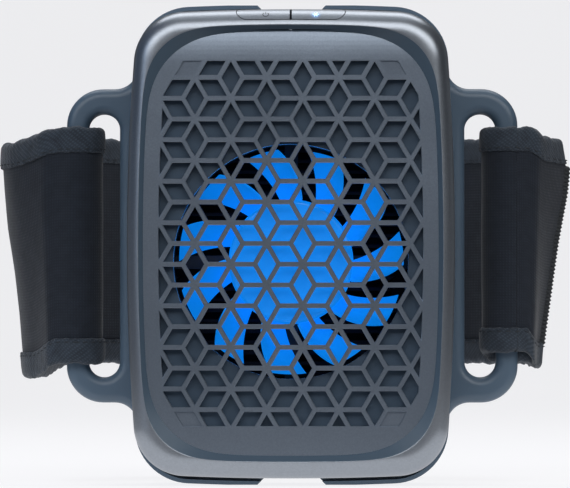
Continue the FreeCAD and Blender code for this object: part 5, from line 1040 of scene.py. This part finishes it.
def hang(points):
    """Bends strap points, in millimetres, from the pattern's true shape to the worn one."""
    x, y, z = points[..., 0].copy(), points[..., 1], points[..., 2].copy()
    outward = smooth(np.abs(x), HANG_START, HANG_END)
    is_left = x < 0
    steepness, below = [np.where(is_left, *pair) for pair in zip(LEFT_LEAN, RIGHT_LEAN)]
    lean_in = steepness * (below - z)
    belly = np.where(is_left, np.interp(z, BELLY_LEVELS, BELLY), 0)
    x = x - np.sign(x) * outward * (np.clip(lean_in, 0, MOST_LEAN) - belly)
    drop = np.where(is_left, LEFT_DROP, RIGHT_DROP)
    z = z - END_SAG * smooth(x, *SAG_X) * smooth(z, -HALF, HALF)
    in_front = smooth(-y, *GATHER_Y) * smooth(x, *GATHER_X) * (1 - smooth(x, *GATHER_END_X))
    z = z - outward * drop + in_front * GATHER * (HALF - z)
    return np.stack([x, y, z], -1)


print("the left end drops", LEFT_DROP, "mm and bellies out by up to", max(BELLY), "mm")


# %% [markdown]
# ## Sewing helpers
# Each cloth piece is a closed outline, thickness by width, drawn along the strap's line. A curve with
# a bevel object could draw it, but a sweep of our own can also gather and pucker each outline, and it
# lays out the UV map in metres, so one weave fits them all.

# %% Sweep a section along the strap
SEAM_SHARP = math.radians(50)


def sweep(name, line, section, material, wobble=None):
    """Draws a closed section of (offset, height) points along a line, in millimetres, with caps."""
    line, section = np.array(line), np.array(section)
    steps = np.hypot(*np.diff(line[:, :2], axis=0).T)
    along = np.concatenate([[0], np.cumsum(steps)])
    across = np.concatenate([[0], np.cumsum(np.hypot(*(np.roll(section, -1, 0) - section).T))])
    heading = np.radians(line[:, 2])
    normal = np.stack([-np.sin(heading), np.cos(heading)], -1)
    rows, columns = len(line), len(section)
    offset = np.tile(section[:, 0], (rows, 1))
    height = np.tile(section[:, 1], (rows, 1))
    if wobble:
        offset, height = wobble(np.tile(along[:, None], (1, columns)), offset, height)
    flat = line[:, None, :2] + normal[:, None, :] * offset[..., None]
    points = hang(np.concatenate([flat, height[..., None]], -1)) * MM
    faces, uv = [], []
    for r in range(rows - 1):
        for c in range(columns):
            faces.append((r * columns + c, r * columns + (c + 1) % columns,
                          (r + 1) * columns + (c + 1) % columns, (r + 1) * columns + c))
            uv += [(along[r], across[c]), (along[r], across[c + 1]),
                   (along[r + 1], across[c + 1]), (along[r + 1], across[c])]
    for r, order in ((0, range(columns)[::-1]), (rows - 1, range(columns))):
        faces.append([r * columns + c for c in order])
        uv += [(along[r] + section[c, 0], section[c, 1]) for c in order]
    mesh = bpy.data.meshes.new(name)
    mesh.from_pydata(points.reshape(-1, 3).tolist(), [], faces)
    laid = mesh.uv_layers.new(name="cloth")
    laid.data.foreach_set("uv", (np.array(uv) * MM).ravel())
    tidy = bmesh.new()
    tidy.from_mesh(mesh)
    bmesh.ops.recalc_face_normals(tidy, faces=tidy.faces)
    tidy.to_mesh(mesh)
    tidy.free()
    mesh.shade_smooth()
    mesh.set_sharp_from_angle(angle=SEAM_SHARP)
    mesh.materials.append(material)
    made = bpy.data.objects.new(name, mesh)
    bpy.context.scene.collection.objects.link(made)
    return made


# %% [markdown]
# ## The knitted band
# The band is thin foam between two faces of knit. It is a little thicker in the middle than at the
# seams, and its faces carry long soft waves where the foam has creased in use.

# %% The knitted band
AT_SEAM, CROWN = 0.86, 0.14     # shares of the thickness: at the seams, and what the middle adds
CREASES_ALONG, CREASES_ACROSS = (31, 19, 11.5), (47, 23)        # wave lengths, in millimetres


def band_section(half, thick, count=26):
    """A flat strip with a crowned face: thickest in the middle."""
    heights = np.linspace(-half, half, count)
    swell = thick * (AT_SEAM + CROWN * np.sqrt(np.clip(1 - (heights / half) ** 2, 0, 1)))
    face = list(zip(swell, heights))
    return face + [(-w, z) for w, z in face[::-1]]


def worn(seed, most):
    """Long soft creases on both faces."""
    def move(along, offset, height):
        lengthwise = ripple(along + 0.25 * height, CREASES_ALONG, seed)
        crosswise = ripple(height + 0.2 * along, CREASES_ACROSS, seed + 1)
        return offset + most * lengthwise * crosswise, height
    return move


BAND_HALF = HALF - 0.5
band = sweep("knit_band", ring_line, band_section(BAND_HALF, CORE), knit, worn(3, 0.16))
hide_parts("strap_band")
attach(band, "unit")
print("band triangles", 2 * len(band.data.polygons))

# %% [markdown]
# ## The edge bindings
# A ribbed tape is folded over each raw edge and sewn through. Sewing it under tension gathers it,
# so it stands in small ribs, its free edges pucker, and the fold on top is fat and slightly wavy.

# %% The edge bindings
TAPE, TAPE_RIB = 6.3, 1.55      # how far the tape reaches in, and its ribs' pitch, in millimetres
# Lengths of the waves in it, and how far each moves the tape, in millimetres.
DRIFT_WAVES, PUCKER_WAVES, FOLD_WAVES, EDGE_WAVES = (17, 9.3), (5.1, 3.3, 2.3), (13, 7.7, 4.1), (4.2, 2.7)
DRIFT, PUCKER, RIB_DEEP, FOLD_WAVE, FOLD_RIB, EDGE_WAVE = 1.05, 0.2, 0.16, 0.34, 0.22, 0.3


def tape_section(side):
    """A U-shaped tape over the edge at the top (side 1) or the bottom (side -1)."""
    inner_edge = HALF - TAPE
    swell = [(-0.35, 0.0), (-0.05, 0.25), (0.06, 1.3), (0.1, 2.6), (0.08, 3.8)]
    outside = [(OUTER + proud, inner_edge + up) for proud, up in swell]
    outside += [(OUTER * math.cos(t), HALF - OUTER * 0.9 + OUTER * 0.9 * math.sin(t))
                for t in np.radians([0, 22, 45, 68])]
    inside = [(0.55, HALF - 0.9), (CORE - 0.1, HALF - 1.8), (CORE - 0.08, inner_edge)]
    half_loop = outside + [(0.0, HALF)] + [(-o, h) for o, h in outside[::-1]]
    back = [(-o, h) for o, h in inside[::-1]] + inside
    return [(o, side * h) for o, h in half_loop + back]


def gathered(seed):
    """Ribs across the tape, puckers at its free edges and a wavy fold."""
    def move(along, offset, height):
        depth = np.abs(height) - (HALF - TAPE)
        drift = along + DRIFT * ripple(along, DRIFT_WAVES, seed) + 0.25 * depth
        ribs = 0.5 - 0.5 * np.abs(np.sin(math.pi * drift / TAPE_RIB)) ** 0.7
        outer_face = smooth(np.abs(offset), CORE, OUTER - 0.2)
        pucker = (1 - smooth(depth, 0.0, 2.2)) * np.abs(ripple(along, PUCKER_WAVES, seed + 5))
        offset = offset + np.sign(offset) * outer_face * (PUCKER * pucker - RIB_DEEP * ribs)
        fold = smooth(depth, 3.5, TAPE)
        wave = FOLD_WAVE * ripple(along, FOLD_WAVES, seed + 9) - FOLD_RIB * ribs
        edge = ((1 - smooth(depth, 0.0, 0.8)) * outer_face * EDGE_WAVE
                * ripple(along, EDGE_WAVES, seed + 2))
        return offset, height + np.sign(height) * (fold * wave + edge)
    return move


# %% Sew the bindings on
RIB_STEP = 0.31                 # a fifth of a rib, so that each rib has its shape
x, y, heading = np.array(ring_line).T
passed = np.concatenate([[0], np.cumsum(np.hypot(np.diff(x), np.diff(y)))])
evenly = np.arange(0, passed[-1], RIB_STEP)
heading = np.degrees(np.unwrap(np.radians(heading)))
fine_ring = np.stack([np.interp(evenly, passed, row) for row in (x, y, heading)], -1)
for side, word in ((1, "upper"), (-1, "lower")):
    made = sweep(f"{word}_binding", fine_ring, tape_section(side), tape, gathered(20 + side))
    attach(made, "unit")
    print(made.name, "triangles", 2 * len(made.data.polygons))
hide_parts("strap_bindings")

# %% [markdown]
# ## The free end
# Beyond its hinge line the strap's free end lies over the folded strap and is held by a hook patch.
# Its end is cut at a slant. A boolean cut would leave the seams and their UV map ragged, so the cloth
# is swept straight, and then each level of it is shortened or lengthened to the slant, by one rule
# that the seams and the patch on it share.

# %% The free end
END_LEVELS = [-29, -21.6, -11, 1, 13, 19, 22.5, 29]             # millimetres up the strap
END_KEEPS = [0.68, 0.72, 0.82, 0.92, 1.1, 1.1, 0.84, 0.8]       # what is left of the length there
AWAY = np.array([math.cos(slope), math.sin(slope)])
crease = np.array(flap_line[-1][:2]) - FLAP_LONG * AWAY


def slanted(points):
    """Shortens or lengthens what lies beyond the crease, in millimetres, by the rule for its level."""
    ahead = np.clip((points[..., :2] - crease) @ AWAY, 0, None)
    shorter = ahead * (1 - np.interp(points[..., 2], END_LEVELS, END_KEEPS))
    return np.concatenate([points[..., :2] - shorter[..., None] * AWAY, points[..., 2:]], -1)


def slant(made):
    """Cuts a swept piece of the free end to the slant."""
    points = np.array([vertex.co for vertex in made.data.vertices]) / MM
    made.data.vertices.foreach_set("co", (slanted(points) * MM).ravel())
    made.data.update()


free_cloth = sweep("free_end_knit", flap_line, band_section(BAND_HALF, CORE), knit, worn(8, 0.1))
free_tapes = [sweep(f"free_end_{word}_binding", flap_line, tape_section(side), tape, gathered(40 + side))
              for side, word in ((1, "upper"), (-1, "lower"))]
for made in (free_cloth, *free_tapes):
    slant(made)
    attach(made, "free_end")
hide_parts("strap_flap")
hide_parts("flap_binding")
reach = max(vertex.co.x for vertex in free_cloth.data.vertices)
print("free end reaches", round(reach / MM, 1), "mm to the right")

# %% [markdown]
# ## Stitches and the whipped edge
# A seam is one thread that shows as short dashes, and the cut end is wound with loops of thread set
# close together. Curves with a bevel could follow each thread, at many more faces. From outside both
# are the same thing, a small rounded bead set along a line at even steps. So one tree makes them, and
# its inputs are the step, the length of a bead and its thickness.

# %% A tree that sets beads of thread along a line
beads, given = blank_tree("thread_along_line", {"Pitch": "Float", "Length": "Float", "Thickness": "Float",
                                                "Sides": "Int", "Paint": "Material"})
way = node(beads, "GeometryNodeMeshToCurve", {"Mesh": given["Geometry"]})
spots = node(beads, "GeometryNodeResampleCurve", {"Curve": way, "Length": given["Pitch"]}, mode="LENGTH")
bead = node(beads, "GeometryNodeMeshUVSphere", {"Segments": given["Sides"], "Rings": 4, "Radius": 0.5})
size = node(beads, "ShaderNodeCombineXYZ", {"X": given["Length"], "Y": given["Thickness"],
                                            "Z": given["Thickness"]})
along_line = node(beads, "GeometryNodeInputTangent")
lie = node(beads, "FunctionNodeAlignRotationToVector", {"Vector": along_line}, axis="X")
set_out = node(beads, "GeometryNodeInstanceOnPoints", {"Points": spots, "Instance": bead,
                                                       "Rotation": lie, "Scale": size})
joined = node(beads, "GeometryNodeRealizeInstances", {"Geometry": set_out})
painted = node(beads, "GeometryNodeSetMaterial", {"Geometry": joined, "Material": given["Paint"]})
node(beads, "NodeGroupOutput", {"Geometry": painted})
print("bead tree nodes:", len(beads.nodes))


# %% Lay the stitches
STITCH_IN, STITCH_RISE = 0.9, 0.05              # from the tape's edge, and above its face


def seam_points(line, face, side):
    """The seam on one face of a tape: points in millimetres along the strap, hung as the cloth is."""
    line = np.array(line)
    heading = np.radians(line[:, 2])
    offset, height = face * (OUTER + STITCH_RISE), side * (HALF - TAPE + STITCH_IN)
    return hang(np.stack([line[:, 0] - np.sin(heading) * offset,
                          line[:, 1] + np.cos(heading) * offset, np.full(len(line), height)], -1))


def joined_lines(name, lines):
    """Several rows of points, in millimetres, as one mesh of edges."""
    points, edges = [], []
    for line in lines:
        edges += [(len(points) + k, len(points) + k + 1) for k in range(len(line) - 1)]
        points += (np.asarray(line) * MM).tolist()
    mesh = bpy.data.meshes.new(name)
    mesh.from_pydata(points, edges, [])
    return mesh


STITCH = {"Pitch": 2.3 * MM, "Length": 1.5 * MM, "Thickness": 0.34 * MM, "Sides": 6, "Paint": thread}
faces_and_sides = [(face, side) for face in (1, -1) for side in (1, -1)]
seams = {"unit": [seam_points(fine_ring, *pair) for pair in faces_and_sides],
         "free_end": [slanted(seam_points(flap_line, *pair)) for pair in faces_and_sides]}
for body, lines in seams.items():
    made = grown(f"{body}_stitches", joined_lines("seams", lines), beads, STITCH)
    made.data.shade_smooth()
    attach(made, body)
    print(made.name, "faces:", len(made.data.polygons))

# %% Whip the cut end
WHIP_TOP, WHIP_BOTTOM = 21.5, -22.5             # between the two bindings
WHIP = {"Pitch": 0.95 * MM, "Length": 1.8 * MM, "Thickness": 3.5 * MM, "Sides": 12, "Paint": dark_thread}
cut_end = np.array([(*tip[:2], z) for z in np.linspace(WHIP_TOP, WHIP_BOTTOM, 60)])
whipped = grown("whipped_end", joined_lines("cut_end", [slanted(hang(cut_end))]), beads, WHIP)
whipped.data.shade_smooth()
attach(whipped, "free_end")
print("whipped end faces:", len(whipped.data.polygons))

# %% [markdown]
# ## The hook patch
# Under the free end sits a patch of hook tape: a woven ground with rows of nylon hooks that catch the
# loops of the knit. Each hook is a stem with a mushroom head, as the moulded sort has, and it takes
# few faces. One tree stands a hook on every point of a net laid over the ground. Real hooks stand
# less than a millimetre apart, and these are drawn coarser to show.

# %% The ground of the hook patch
PATCH_START, PATCH_LONG, PATCH_HALF = 0.8, 6.4, 20.5            # millimetres from the crease
GROUND, SUNK = 0.5, 0.1                                         # thickness, and depth in the knit
patch_line = strap_line(*(crease + PATCH_START * AWAY), SLOPE, [PATCH_LONG], 0.6)
heights = np.linspace(-PATCH_HALF, PATCH_HALF, 24)
ground_section = [(CORE + GROUND, z) for z in heights] + [(CORE - SUNK, z) for z in heights[::-1]]
ground = sweep("hook_patch_ground", patch_line, ground_section, hook_tape)
slant(ground)
print("hook patch:", PATCH_LONG, "by", 2 * PATCH_HALF, "mm")

# %% The net that the hooks stand on
HOOK_TALL, HOOK_PITCH, HOOK_ROWS, STEM_RADIUS = 1.3, 1.3, 5, 0.14
off_cloth = np.array([-AWAY[1], AWAY[0]])
net = [(*(crease + (PATCH_START + 0.6 + row * HOOK_PITCH) * AWAY + off_cloth * (CORE + GROUND)), z)
       for row in range(HOOK_ROWS) for z in np.arange(-PATCH_HALF + 0.7, PATCH_HALF, HOOK_PITCH)]
net_mesh = bpy.data.meshes.new("hook_net")
net_mesh.from_pydata((slanted(hang(np.array(net))) * MM).tolist(), [], [])
print("hooks to stand:", len(net))

# %% A tree that stands a hook on each point
field, given = blank_tree("hook_field", {"Stem": "Float", "Height": "Float", "Upright": "Vector",
                                         "Paint": "Material"})
stem = node(field, "GeometryNodeMeshCylinder", {"Vertices": 6, "Radius": given["Stem"],
                                                "Depth": given["Height"]})
cap_size = node(field, "ShaderNodeMath", {0: given["Stem"], 1: 2.1}, operation="MULTIPLY")
cap = node(field, "GeometryNodeMeshUVSphere", {"Segments": 6, "Rings": 3, "Radius": cap_size})
half_height = node(field, "ShaderNodeMath", {0: given["Height"], 1: 0.5}, operation="MULTIPLY")
cap_place = node(field, "ShaderNodeCombineXYZ", {"Z": half_height})
cap = node(field, "GeometryNodeTransform", {"Geometry": cap, "Translation": cap_place,
                                            "Scale": (1, 1, 0.6)})
hook = node(field, "GeometryNodeJoinGeometry")
field.links.new(stem.outputs["Mesh"], hook.inputs[0])
field.links.new(cap.outputs[0], hook.inputs[0])
hook = node(field, "GeometryNodeTransform", {"Geometry": hook, "Translation": cap_place})
stand = node(field, "FunctionNodeAlignRotationToVector", {"Vector": given["Upright"]}, axis="Z")
spots = node(field, "GeometryNodeMeshToPoints", {"Mesh": given["Geometry"]})
stood = node(field, "GeometryNodeInstanceOnPoints", {"Points": spots, "Instance": hook,
                                                     "Rotation": stand})
joined = node(field, "GeometryNodeRealizeInstances", {"Geometry": stood})
painted = node(field, "GeometryNodeSetMaterial", {"Geometry": joined, "Material": given["Paint"]})
node(field, "NodeGroupOutput", {"Geometry": painted})
print("hook tree nodes:", len(field.nodes))

# %% The hooks
hooks = grown("hooks", net_mesh, field, {"Stem": STEM_RADIUS * MM, "Height": HOOK_TALL * MM,
                                         "Upright": (*off_cloth, 0.0), "Paint": hook_nylon})
for made in (ground, hooks):
    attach(made, "free_end")
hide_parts("hook_patch")
print("faces of the hooks:", len(hooks.data.polygons))

# %% [markdown]
# ## Symbols on the keys
# The left key carries a small dark power sign and the right one a lit snow crystal for the cold
# setting. They are printed, so each is a line of ink laid on the key's rounded face, a few
# hundredths of a millimetre proud. A pattern in the paint could show them too, but a line of ink has
# a true edge from any distance. The ink follows the round face point by point.

# %% Ink on the keys
KEY_RADIUS, KEY_CROWN = RIM_ROUND, 2 * SHELL_BOW        # the keys' face goes on from the rim's
INK_RISE, INK_DEEP, INK_WIDE = 0.03, 0.15, 0.22


def on_key(x, up, rise):
    """A point above or below the keys' rounded face, in millimetres."""
    origin, right, up_way, out = (np.array(v, float) for v in KEYS)
    sag = KEY_RADIUS - math.sqrt(KEY_RADIUS ** 2 - up ** 2) + x ** 2 / KEY_CROWN
    return origin + right * x + up_way * up + out * (rise - sag)


def ink_lines(name, lines, material, body):
    """Lines of (x, up) on the keys as thin strips of ink."""
    points, faces = [], []
    for line in lines:
        line = np.array(line)
        ahead = np.gradient(line, axis=0)
        ahead /= np.linalg.norm(ahead, axis=1)[:, None]
        beside = np.stack([-ahead[:, 1], ahead[:, 0]], -1) * INK_WIDE / 2
        first = len(points)
        for (x, up), (dx, dup) in zip(line, beside):
            points += [on_key(x + s * dx, up + s * dup, rise)
                       for s, rise in ((1, -INK_DEEP), (-1, -INK_DEEP), (-1, INK_RISE), (1, INK_RISE))]
        for k in range(len(line) - 1):
            at = first + 4 * k
            faces += [(at + c, at + (c + 1) % 4, at + 4 + (c + 1) % 4, at + 4 + c) for c in range(4)]
        last = first + 4 * (len(line) - 1)
        faces += [(first + 3, first + 2, first + 1, first), (last, last + 1, last + 2, last + 3)]
    made = solid(name, points, faces)
    made.data.materials.append(material)
    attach(made, body)
    return made


def straight(x, up, angle, start, end):
    """A straight line at an angle through (x, up), in small steps so that it follows the round face."""
    a = math.radians(angle)
    return [(x + d * math.cos(a), up + d * math.sin(a)) for d in np.linspace(start, end, 7)]


# %% The two signs
SIGN_X, SIGN_UP, SIGN_SIZE, CRYSTAL_ARM = 6.0, -1.2, 0.68, 0.75
arc = [(-SIGN_X + SIGN_SIZE * math.cos(t), SIGN_UP + SIGN_SIZE * math.sin(t))
       for t in np.radians(np.linspace(125, 415, 25))]
ink_lines("power_sign", [arc, straight(-SIGN_X, SIGN_UP, 90, 0.15, 0.95)], dark_ink, "power_key")
crystal = [straight(SIGN_X, SIGN_UP, angle, -CRYSTAL_ARM, CRYSTAL_ARM) for angle in (0, 60, 120)]
ink_lines("cold_sign", crystal, lit_ink, "mode_key")
print("signs printed at", SIGN_X, "mm from the middle")

# %% [markdown]
# ## Floor and light
# A pale sheet of paper that sweeps up behind the unit hides the horizon. Three soft boxes light the
# unit: a long one high in front, which rolls over the rim and the panel, one above and behind, which
# draws the bright edge along the top, and a small bluish one at the left. The sides of the studio
# stay dim, so the side walls of the shell stay dark and its shape reads.

# %% The shape of the paper
FLOOR_Z = -58.25 * MM           # the feet of the strap frame stand on it
SWEEP_START, SWEEP_RADIUS, PAPER_FRONT, PAPER_TOP, PAPER_HALF = 3.4, 0.8, -4.0, 4.0, 5     # metres
profile = [(PAPER_FRONT, 0.0), (SWEEP_START, 0.0)]
profile += [(SWEEP_START + SWEEP_RADIUS * math.sin(a), SWEEP_RADIUS - SWEEP_RADIUS * math.cos(a))
            for a in np.radians(range(10, 91, 10))]
profile.append((SWEEP_START + SWEEP_RADIUS, PAPER_TOP))
backdrop = bmesh.new()
rows = [[backdrop.verts.new((x, y, FLOOR_Z + z)) for y, z in profile] for x in (-PAPER_HALF, PAPER_HALF)]
for i in range(len(profile) - 1):
    backdrop.faces.new((rows[0][i], rows[1][i], rows[1][i + 1], rows[0][i + 1]))
floor_mesh = bpy.data.meshes.new("floor")
backdrop.to_mesh(floor_mesh)
backdrop.free()
floor = bpy.data.objects.new("floor", floor_mesh)
bpy.context.scene.collection.objects.link(floor)
floor_mesh.shade_smooth()
print("paper:", 2 * PAPER_HALF, "m wide")

# %% [markdown]
# ## The paper's glow
# Seamless paper under studio light is bright and even, whatever small thing stands on it. Emission
# keeps it so. Two parts of it matter: what the camera sees, which is bright everywhere, and what the
# unit mirrors, which is bright only under and behind it, and draws the pale rim at the bottom.

# %% Paper
SEEN_GLOW, NEAR_GLOW, FAR_GLOW = 0.9, 0.82, 0.06
FRONT_FADE, SIDE_FADE = (-0.088, -0.07), (0.2, 0.06)            # where the mirrored glow fades, in metres
paper, tree, shader = blank_material("studio_paper")
shader.inputs["Base Color"].default_value = linear("#6f6f71")
shader.inputs["Roughness"].default_value = 0.9
shader.inputs["Emission Color"].default_value = linear("#f4f4f6")
place = node(tree, "ShaderNodeTexCoord").outputs["Object"]
apart = node(tree, "ShaderNodeSeparateXYZ", {0: place}).outputs
from_front = node(tree, "ShaderNodeMapRange", {"Value": apart["Y"], "From Min": FRONT_FADE[0],
                                               "From Max": FRONT_FADE[1]},
                  interpolation_type="SMOOTHSTEP")
aside = node(tree, "ShaderNodeMath", {0: apart["X"]}, operation="ABSOLUTE")
below = node(tree, "ShaderNodeMapRange", {"Value": aside, "From Min": SIDE_FADE[0],
                                          "From Max": SIDE_FADE[1]}, interpolation_type="SMOOTHSTEP")
near_unit = node(tree, "ShaderNodeMath", {0: from_front, 1: below}, operation="MULTIPLY")
mirrored = node(tree, "ShaderNodeMapRange", {"Value": near_unit, "To Min": FAR_GLOW,
                                             "To Max": NEAR_GLOW})
seen = node(tree, "ShaderNodeLightPath").outputs["Is Camera Ray"]
glow = node(tree, "ShaderNodeMix", {0: seen, 2: mirrored.outputs["Result"], 3: SEEN_GLOW})
tree.links.new(glow.outputs[0], shader.inputs["Emission Strength"])
floor_mesh.materials.append(paper)
print("paper glow:", SEEN_GLOW, "to the eye")


# %% Soft boxes
def soft_box(name, place, aim, wide, tall, power, colour="#ffffff"):
    """A rectangular soft box aimed at a point, with sizes in metres and power in watts."""
    lamp = bpy.data.lights.new(name, "AREA")
    lamp.shape = "RECTANGLE"
    lamp.size, lamp.size_y, lamp.energy = wide, tall, power
    lamp.color = linear(colour)[:3]
    holder = bpy.data.objects.new(name, lamp)
    holder.location = place
    holder.rotation_euler = (Vector(aim) - Vector(place)).to_track_quat("-Z", "Y").to_euler()
    bpy.context.scene.collection.objects.link(holder)


soft_box("key_box", (0.1, -1.05, 0.72), (0, 0, 0), 3.0, 0.66, 15.5)
soft_box("overhead_box", (0.0, 0.45, 1.1), (0, 0, 0), 1.3, 0.6, 6)
soft_box("left_box", (-1.3, -0.9, 0.5), (0, 0, 0), 0.5, 0.9, 1.6, "#cfe0f5")

# %% [markdown]
# ## The studio round the unit
# The surround is a ramp on the direction itself: pale straight overhead and far behind, and dark
# elsewhere, a little bluer at the left. It takes the place of the black cards that a photographer
# would stand round the unit. The plain colour transform keeps its greys as they are picked.

# %% Surround
RAMPS = {"Z": (0.85, 1.0), "Y": (0.45, 0.8), "X": (0.3, -0.7)}  # start and end, along the direction
world = bpy.data.worlds.new("surround")
bpy.context.scene.world = world
world.use_nodes = True
sky = world.node_tree
way = node(sky, "ShaderNodeTexCoord").outputs["Generated"]
parts = node(sky, "ShaderNodeSeparateXYZ", {0: way}).outputs
upward, backward, leftward = [
    node(sky, "ShaderNodeMapRange", {"Value": parts[axis], "From Min": low, "From Max": high},
         interpolation_type="SMOOTHSTEP").outputs["Result"] for axis, (low, high) in RAMPS.items()]
pale = node(sky, "ShaderNodeMath", {0: upward, 1: backward}, operation="MAXIMUM")
level_tint = node(sky, "ShaderNodeMix", {0: leftward, 6: linear("#2e3237"), 7: linear("#2c4058")},
                  data_type="RGBA")
dome = node(sky, "ShaderNodeMix", {0: pale.outputs[0], 6: level_tint.outputs[2],
                                   7: linear("#c4c8ce")}, data_type="RGBA")
sky.links.new(dome.outputs[2], sky.nodes["Background"].inputs[0])
sky.nodes["Background"].inputs[1].default_value = 1.0
bpy.context.scene.view_settings.view_transform = "Standard"
print("surround nodes:", len(sky.nodes))
